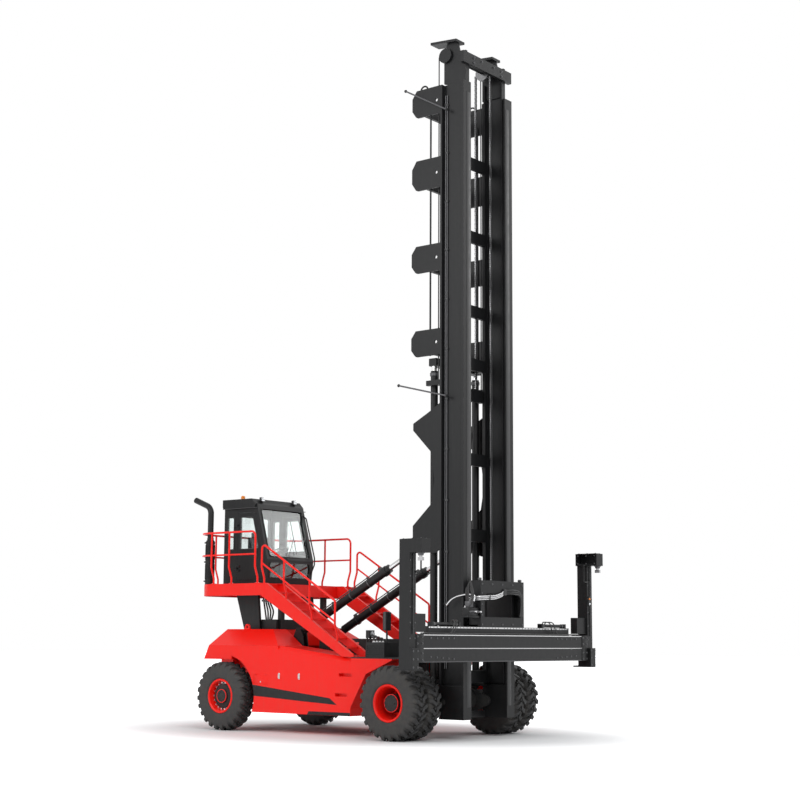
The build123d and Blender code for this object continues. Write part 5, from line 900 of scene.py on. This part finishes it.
interior.box((-0.021, -0.118, -0.078), (-0.016, 0.118, 0.078), 0.002, 3, screen_at)
interior.pipe((screen_at @ Vector((0.015, 0, -0.05)), (-4.56, -0.50, 3.66), (-4.47, -0.56, 3.42), (-4.44, -0.60, 3.05)),
              0.012, 0.08, 8, 1)
interior.box((-5.46, -0.64, 2.9965), (-4.42, 0.64, 3.003), 0.003)
made = piece("cab_fittings", "chassis", interior, [black_plastic, worn_steel, red_lens, screen_glass])
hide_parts("cab_interior")

# Exhaust: band clamps and upright ribs of black steel that keep hands off the hot silencer, and a tapered collar
# where the pipe leaves its top
stack = Matrix.Translation((-5.42, -1.25, 0))
clamp_turn, clamp_half, rib_circle, rib_count = Matrix.Rotation(-2.2, 4, "Z"), 0.018, 0.0965, 22
exhaust_trim = Pile()
for z in (3.02, 3.42, 3.82):
    exhaust_trim.put(hoop(0.0955, 0.100, z - clamp_half, z + clamp_half, 40), stack)
    exhaust_trim.box((0.090, -0.020, z - 0.014), (0.122, 0.020, z + 0.014), matrix=stack @ clamp_turn)
exhaust_trim.put(lathe(((0.0625, 3.850), (0.094, 3.851), (0.070, 3.885), (0.067, 3.930), (0.0625, 3.930),
                        (0.0625, 3.850)), 40), stack)
for low, high in ((3.06, 3.38), (3.46, 3.78)):
    rib = rounded_box((-0.004, -0.004, low), (0.004, 0.004, high), 0.002)
    ring_of(exhaust_trim, rib, rib_count, rib_circle, 0, stack)
piece("exhaust_trim", "chassis", exhaust_trim, [black_enamel])

# Mast fittings: steel guide rods with end bolts beside the rails, a ring a side below the head, clamped hydraulic
# lines, wear strips on the front flanges, and the bolted gland collars of the lift cylinders
guide_y = 0.86
guides = Pile()
for ends in (((-0.557, 12.771), (0.478, 12.171)), ((-0.691, 6.767), (0.489, 6.458))):
    for side in (-1, 1):
        guides.pipe([(x, side * guide_y, z) for x, z in ends], 0.016, sides=16)
        for x, z in ends:
            guides.bolt((x, side * (guide_y - 0.012), z), (0, side, 0), 0.022, 0.03)
for side in (-1, 1):
    guides.put(torus(0.085, 0.017, 36), stand((-0.11, side * 0.81, 12.70), (0, 1, 0)), 1)
piece("mast_guide_rods", "outer_mast", guides, [worn_steel, mast_enamel])
line_y, line_low_z, line_top_z, clip_low_z, clip_pitch = 0.755, 1.30, 12.5, 1.5, 0.98
rail_lines = Pile()
for side in (-1, 1):
    for x in (0.38, 0.42):
        rail_lines.pipe([(x, side * line_y, z) for z in (line_low_z, line_top_z)], 0.010, slot=1)
    for n in range(12):
        z = clip_low_z + clip_pitch * n
        rail_lines.box((0.355, 0.730, z), (0.445, 0.766, z + 0.045), 0.006, side=side)
        rail_lines.bolt((0.40, side * 0.766, z + 0.022), (0, side, 0), 0.008, 0.008)
    rail_lines.box((0.8705, 0.60, 0.60), (0.8725, 0.72, 12.50), 0.001, side=side)
piece("mast_lines", "outer_mast", rail_lines, [black_plastic, worn_steel])
mast_bolts = Pile()
gland_rows = ((0.0725, 0.0), (0.086, 0.004), (0.086, 0.055), (0.080, 0.062), (0.0725, 0.062), (0.0725, 0.0))
for side in (-1, 1):
    gland_at = stand((0.06, side * 0.68, 6.90))
    mast_bolts.put(lathe(gland_rows, 36), gland_at)
    ring_of(mast_bolts, bolt(0.008, 0.008), 8, 0.079, 0.060, gland_at)
piece("mast_bolts", "outer_mast", mast_bolts, [worn_steel])


# Leaf chains: steel plates in four layers on through pins. They stretch between the carriage, or the outer mast,
# and the inner mast's sheaves, and replace the plain straps.
def chain_run(pile, x, y, low, high):
    """Plates and pins from one height to another. Odd and even rows lie beside each other."""
    pitch, half_width, thick, pin_radius, pin_half, first_layer = 0.044, 0.0165, 0.0042, 0.0075, 0.0255, -0.0235
    turns = [math.pi * n / 4 for n in range(5)]
    arc = [(half_width * math.cos(turn), pitch / 2 + half_width * math.sin(turn)) for turn in turns]
    link = slab(arc + [(-x_at, -y_at) for x_at, y_at in arc], thick, 0)
    pin = lathe(((0, -pin_half), (pin_radius, -pin_half), (pin_radius, pin_half), (0, pin_half)), 8)
    across = on_side(1, 0)
    for n in range(int((high - low - 2 * half_width) / pitch)):
        z = low + half_width + pitch * (n + 0.5)
        for layer in range(4):
            layer_y = y + first_layer + 3 * thick * layer + 1.5 * thick * (n % 2)
            pile.put(link, Matrix.Translation((x, layer_y, z)) @ across)
        pile.put(pin, Matrix.Translation((x, y, z - pitch / 2)) @ across, 1)


# Rows of name, X, the foot's Z and the body that the foot rides on. Both chains end at Z 13.28 on the inner mast.
for name, x, low, mover in (("front", 0.6433, 2.94, "carriage"), ("rear", 0.2767, 6.76, "outer_mast")):
    chains = Pile()
    for y in (-0.40, 0.40):
        chain_run(chains, x, y, low, 13.28)
    made = piece(f"{name}_leaf_chains", None, chains, [oiled_steel, bright_steel], crease=50)
    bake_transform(made)
    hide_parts(f"{name}_chains")
dress(hose_rubber, "mast_hoses")

# Tilt cylinders: turned gland collars with port blocks, and a bent steel pipe clamped along each barrel's top.
# They turn with the barrel.
tilt_pin = Vector((-3.4, 0, 1.97))
tilt_run = Vector((-0.18, 0, 3.70)) - tilt_pin
tilt_unit = tilt_run.normalized()
tilt_up = Vector((-tilt_unit.z, 0, tilt_unit.x))
tilt_turn = Matrix((tilt_unit, (0, 1, 0), tilt_up)).transposed().to_4x4()
for name, side in SIDES:
    trim = Pile()
    foot = tilt_pin + Vector((0, side * 0.6, 0))
    for share, thick in ((0.145, 0.05), (0.675, 0.09)):
        collar = ((0.0855, 0), (0.100, 0.004), (0.100, thick - 0.004), (0.0955, thick), (0.0855, thick), (0.0855, 0))
        trim.put(lathe(collar, 36), stand(foot + tilt_run * share, tilt_unit))
    for share in (0.15, 0.66):
        block_at = Matrix.Translation(foot + tilt_run * share + tilt_up * 0.092) @ tilt_turn
        trim.box((-0.035, -0.028, -0.012), (0.035, 0.028, 0.045), 0.006, 1, block_at)
    trim.pipe([foot + tilt_run * share + tilt_up * lift for share, lift in (
        (0.15, 0.11), (0.15, 0.135), (0.19, 0.118), (0.60, 0.118), (0.655, 0.135), (0.66, 0.11))], 0.011, 0.04, slot=2)
    for share in (0.28, 0.42, 0.56):
        trim.put(hoop(0.0855, 0.090, -0.012, 0.012, 32), stand(foot + tilt_run * share, tilt_unit), 2)
        clip_at = Matrix.Translation(foot + tilt_run * share + tilt_up * 0.104) @ tilt_turn
        trim.box((-0.014, -0.022, -0.018), (0.014, 0.022, 0.030), 0.004, 1, clip_at)
    piece(f"tilt_trim_{name}", f"tilt_barrel_{name}", trim, [black_enamel, black_plastic, worn_steel])

# Top beam: worn steel heads of the bolts that hold the crosshead's plates. They stand on its front face and rise
# with the inner mast.
top_bolts = Pile()
for y, z in ((-0.475, 13.256), (-0.475, 13.152), (-0.203, 13.255), (0.203, 13.255), (0.475, 13.152), (0.475, 13.256)):
    top_bolts.bolt((0.871, y, z), (1, 0, 0), 0.020, 0.018, 0)
piece("top_beam_bolts", "inner_mast", top_bolts, [worn_steel])

# Carriage fittings: a valve block with its plugs on the right post, rubber hoses that loop from it over the frame
# and back to the mast, a rail of clamped steel lines across the frame, and bolt heads
carriage_front, block_front, block_top_z, plug_pitch = 1.18, 1.15, 2.43, 0.075
valves = Pile()
for low, high, edge, slot in (((0.99, -1.04, 2.275), (block_front, -0.735, block_top_z), 0.010, 0),
                              ((0.975, -1.06, 2.245), (1.165, -0.7105, 2.277), 0.006, 0),
                              ((1.00, -0.97, block_top_z), (1.12, -0.86, 2.55), 0.012, 1),
                              ((0.985, -0.84, block_top_z), (1.10, -0.74, 2.50), 0.010, 0)):
    valves.box(low, high, edge, slot)
plug = lathe(((0, 0), (0.026, 0), (0.026, 0.032), (0.020, 0.040), (0.020, 0.085), (0.016, 0.092), (0, 0.092)), 18)
for n in range(4):
    y = -1.0 + plug_pitch * n
    valves.put(plug, stand((block_front, y, 2.352), (1, 0, 0)), 1 + n % 2)
    valves.bolt((1.03 + 0.02 * (n % 2), y, block_top_z), (0, 0, 1), 0.014, 0.03, 2)
for y in (-0.66, -0.33, 0.0, 0.33, 0.66):
    for z in (2.875, 2.125):
        valves.bolt((carriage_front, y, z), (1, 0, 0), 0.014, 0.014)
for side in (-1, 1):
    for z in (2.30, 2.50, 2.70):
        valves.bolt((carriage_front, side * 0.67, z), (1, 0, 0), 0.012, 0.012)
    valves.box((1.09, 0.63, 2.941), (1.15, 0.69, 2.99), 0.012, 1, side=side)
piece("carriage_valves", "carriage", valves, [black_enamel, worn_steel, bright_steel])
steel_lines = Pile()
for n in range(3):
    x, y, rise = 1.215 + 0.006 * n, -0.80 - 0.03 * n, 0.03 * n
    steel_lines.pipe(((1.00, y, 2.49), (1.00, y, 2.56 + rise), (x, -0.76, 2.58 + rise), (x, -0.30, 2.60 + rise),
                      (1.21, -0.05, 2.66 + rise), (1.185, 0.02, 2.70 + rise)), 0.011, 0.09)
steel_lines.box((1.181, -0.50, 2.585), (1.240, -0.468, 2.68), 0.005, 1)
steel_lines.box((1.181, 0.0, 2.675), (1.215, 0.09, 2.79), 0.008, 1)
steel_lines.pipe([(x, -0.86, z) for x, z in ((1.13, 2.55), (1.16, 2.66), (0.98, 2.68), (0.74, 2.64), (0.60, 2.58),
                                             (0.50, 2.48))], 0.017, 0.09, 12)
for n in range(3):
    steel_lines.pipe(((0.995 + 0.04 * n, -0.90 - 0.03 * n, 2.55), (0.98 + 0.06 * n, -0.92 - 0.03 * n, 2.76 + 0.04 * n),
                      (1.10 + 0.02 * n, -0.95 - 0.02 * n, 2.86 + 0.04 * n), (1.18 + 0.02 * n, -0.98, 2.68),
                      (1.19, -1.0, 2.50), (1.10, -1.02, 2.42)), 0.0135, 0.12, slot=2)
    y, drop = 0.63 - 0.03 * n, 0.035 * n
    steel_lines.pipe(((1.19, 0.03 + 0.02 * n, 2.76 - 0.03 * n), (1.24, 0.20, 2.78 - drop), (1.245, 0.48, 2.76 - drop),
                      (1.23, y - 0.01, 2.60), (1.20, y, 2.36), (1.182, y, 2.28)), 0.014, 0.16, slot=2)
piece("carriage_lines", "carriage", steel_lines, [bright_steel, black_plastic, hose_rubber])

# Spreader beam fittings: a fold line along the face, strips on its edges, bolted end collars, groups of bolts, the
# strip on the shelf, clamped lines on top of it, and end glands of the spreading rams
face_x, beam_low_z, beam_high_z, beam_reach, collar_thick = 1.30, 1.44, 1.93, 2.595, 0.008
beam_trim = Pile()
# Rows of X, reach to each side, heights, thickness, edge and material
for x, reach, low, high, thick, edge, slot in (
        (face_x, beam_reach, 1.678, 1.692, 0.006, 0.002, 2), (face_x, beam_reach, 1.442, 1.458, 0.004, 0.0015, 1),
        (face_x, beam_reach, 1.912, 1.928, 0.004, 0.0015, 2), (1.180, 2.295, 2.046, 2.072, 0.007, 0.002, 2)):
    beam_trim.box((x, -reach, low), (x + thick, reach, high), edge, slot)
face_bolts = ((2.38, 1.537), (2.03, 1.517), (1.70, 1.498), (2.20, 1.527), (1.86, 1.507), (2.38, 1.865), (2.20, 1.865),
              (2.03, 1.865), (1.86, 1.865), (1.70, 1.865))
for side in (-1, 1):
    for low, high in (((face_x, 2.60, beam_low_z), (face_x + collar_thick, 2.808, beam_high_z)),
                      ((1.062, 2.60, beam_high_z), (face_x + collar_thick, 2.808, beam_high_z + collar_thick))):
        beam_trim.box(low, high, 0.003, side=side)
    for y, z in face_bolts:
        beam_trim.bolt((face_x, side * y, z), (1, 0, 0), 0.013, 0.012)
    for y in (2.635, 2.773):
        for z in (1.48, 1.60, 1.77, 1.89):
            beam_trim.bolt((face_x + collar_thick, side * y, z), (1, 0, 0), 0.014, 0.014)
    for y in (1.42, 2.10):
        beam_trim.put(hoop(0.0325, 0.041, -0.022, 0.022, 28), stand((1.13, side * y, 2.115), (0, 1, 0)), 1)
for n in range(46):
    y = -2.25 + 0.10 * n
    if abs(y) > 0.05:
        beam_trim.bolt((1.187, y, 2.059), (1, 0, 0), 0.007, 0.006)
piece("beam_trim", "spreader", beam_trim, [mast_enamel, worn_steel, bright_steel])
beam_lines = Pile()
for x, slot in ((1.205, 0), (1.233, 3), (1.261, 1)):
    beam_lines.pipe(((x, -2.55, 1.950), (x, 2.55, 1.950)), 0.013, slot=slot)
for n in range(11):
    y = -2.4 + 0.48 * n
    beam_lines.box((1.190, y - 0.016, 1.931), (1.276, y + 0.016, 1.960), 0.004, 2)
for side in (-1, 1):
    for n in range(2):
        y, back, out = 1.44 + 0.10 * n, 1.13 - 0.02 * n, 1.24 + 0.02 * n
        beam_lines.pipe([(x, side * (y + shift), z) for x, shift, z in (
            (back, 0, 2.148), (1.13, 0, 2.19), (out, 0.08, 2.19), (out + 0.01, 0.16, 2.00), (out, 0.22, 1.955))],
            0.011, 0.07, 8, 1)
piece("beam_lines", "spreader", beam_lines, [worn_steel, hose_rubber, black_plastic, bright_steel])

# Arm fittings: cover plates with bolts on the heads, bolt rows on posts and feet, flanges round the twist locks, a
# cable clipped down each post, and the marker lamps on the left one
post_front, cable_y, cover_top_z, lock_x, lock_y, lock_seat_z = 1.30, 2.91, 3.590, 1.49, 2.9265, 3.339
lock_flange = lathe(((0.0305, 0), (0.070, 0), (0.070, 0.012), (0.052, 0.016), (0.048, 0.050), (0.0305, 0.050),
                     (0.0305, 0)), 32)
for name, side in SIDES:
    arm_trim = Pile().box((1.10, 2.785, 3.585), (1.54, 2.975, cover_top_z), 0.0015, side=side)
    for x in (1.125, 1.32, 1.515):
        for y in (2.805, 2.955):
            arm_trim.bolt((x, side * y, cover_top_z), (0, 0, 1), 0.010, 0.009)
        for z in (3.385, 3.540):
            arm_trim.bolt((x, side * 2.7605, z), (0, -side, 0), 0.010, 0.009)
    arm_trim.put(lock_flange, stand((lock_x, side * lock_y, lock_seat_z), (0, 0, -1)), 1)
    for n in range(6):
        for y in (2.98, 2.84):
            arm_trim.bolt((post_front, side * y, 1.86 + 0.27 * n), (1, 0, 0), 0.011, 0.011)
    for y in (2.845, 2.975):
        for z in (1.36, 1.50, 1.64):
            arm_trim.bolt((1.37, side * y, z), (1, 0, 0), 0.014, 0.014)
    arm_trim.pipe([(post_front + 0.012, side * cable_y, z) for z in (3.335, 1.93)], 0.009, sides=8, slot=2)
    for n in range(4):
        z = 2.02 + 0.34 * n
        arm_trim.box((post_front, cable_y - 0.016, z), (post_front + 0.026, cable_y + 0.016, z + 0.025), 0.004, 2,
                     side=side)
    piece(f"arm_trim_{name}", f"arm_{name}", arm_trim, [mast_enamel, worn_steel, black_plastic])
markers = Pile().box((post_front, 2.855, 2.53), (post_front + 0.020, 2.895, 2.72), 0.006)
marker_lens = lathe(((0, 0), (0.021, 0), (0.021, 0.012), (0.015, 0.020), (0, 0.023)), 24)
for slot, z in ((1, 2.673), (2, 2.575)):
    markers.put(marker_lens, stand((post_front + 0.019, 2.875, z), (1, 0, 0)), slot)
piece("marker_lamps", "arm_left", markers, [black_plastic, amber_lens, clear_lens])
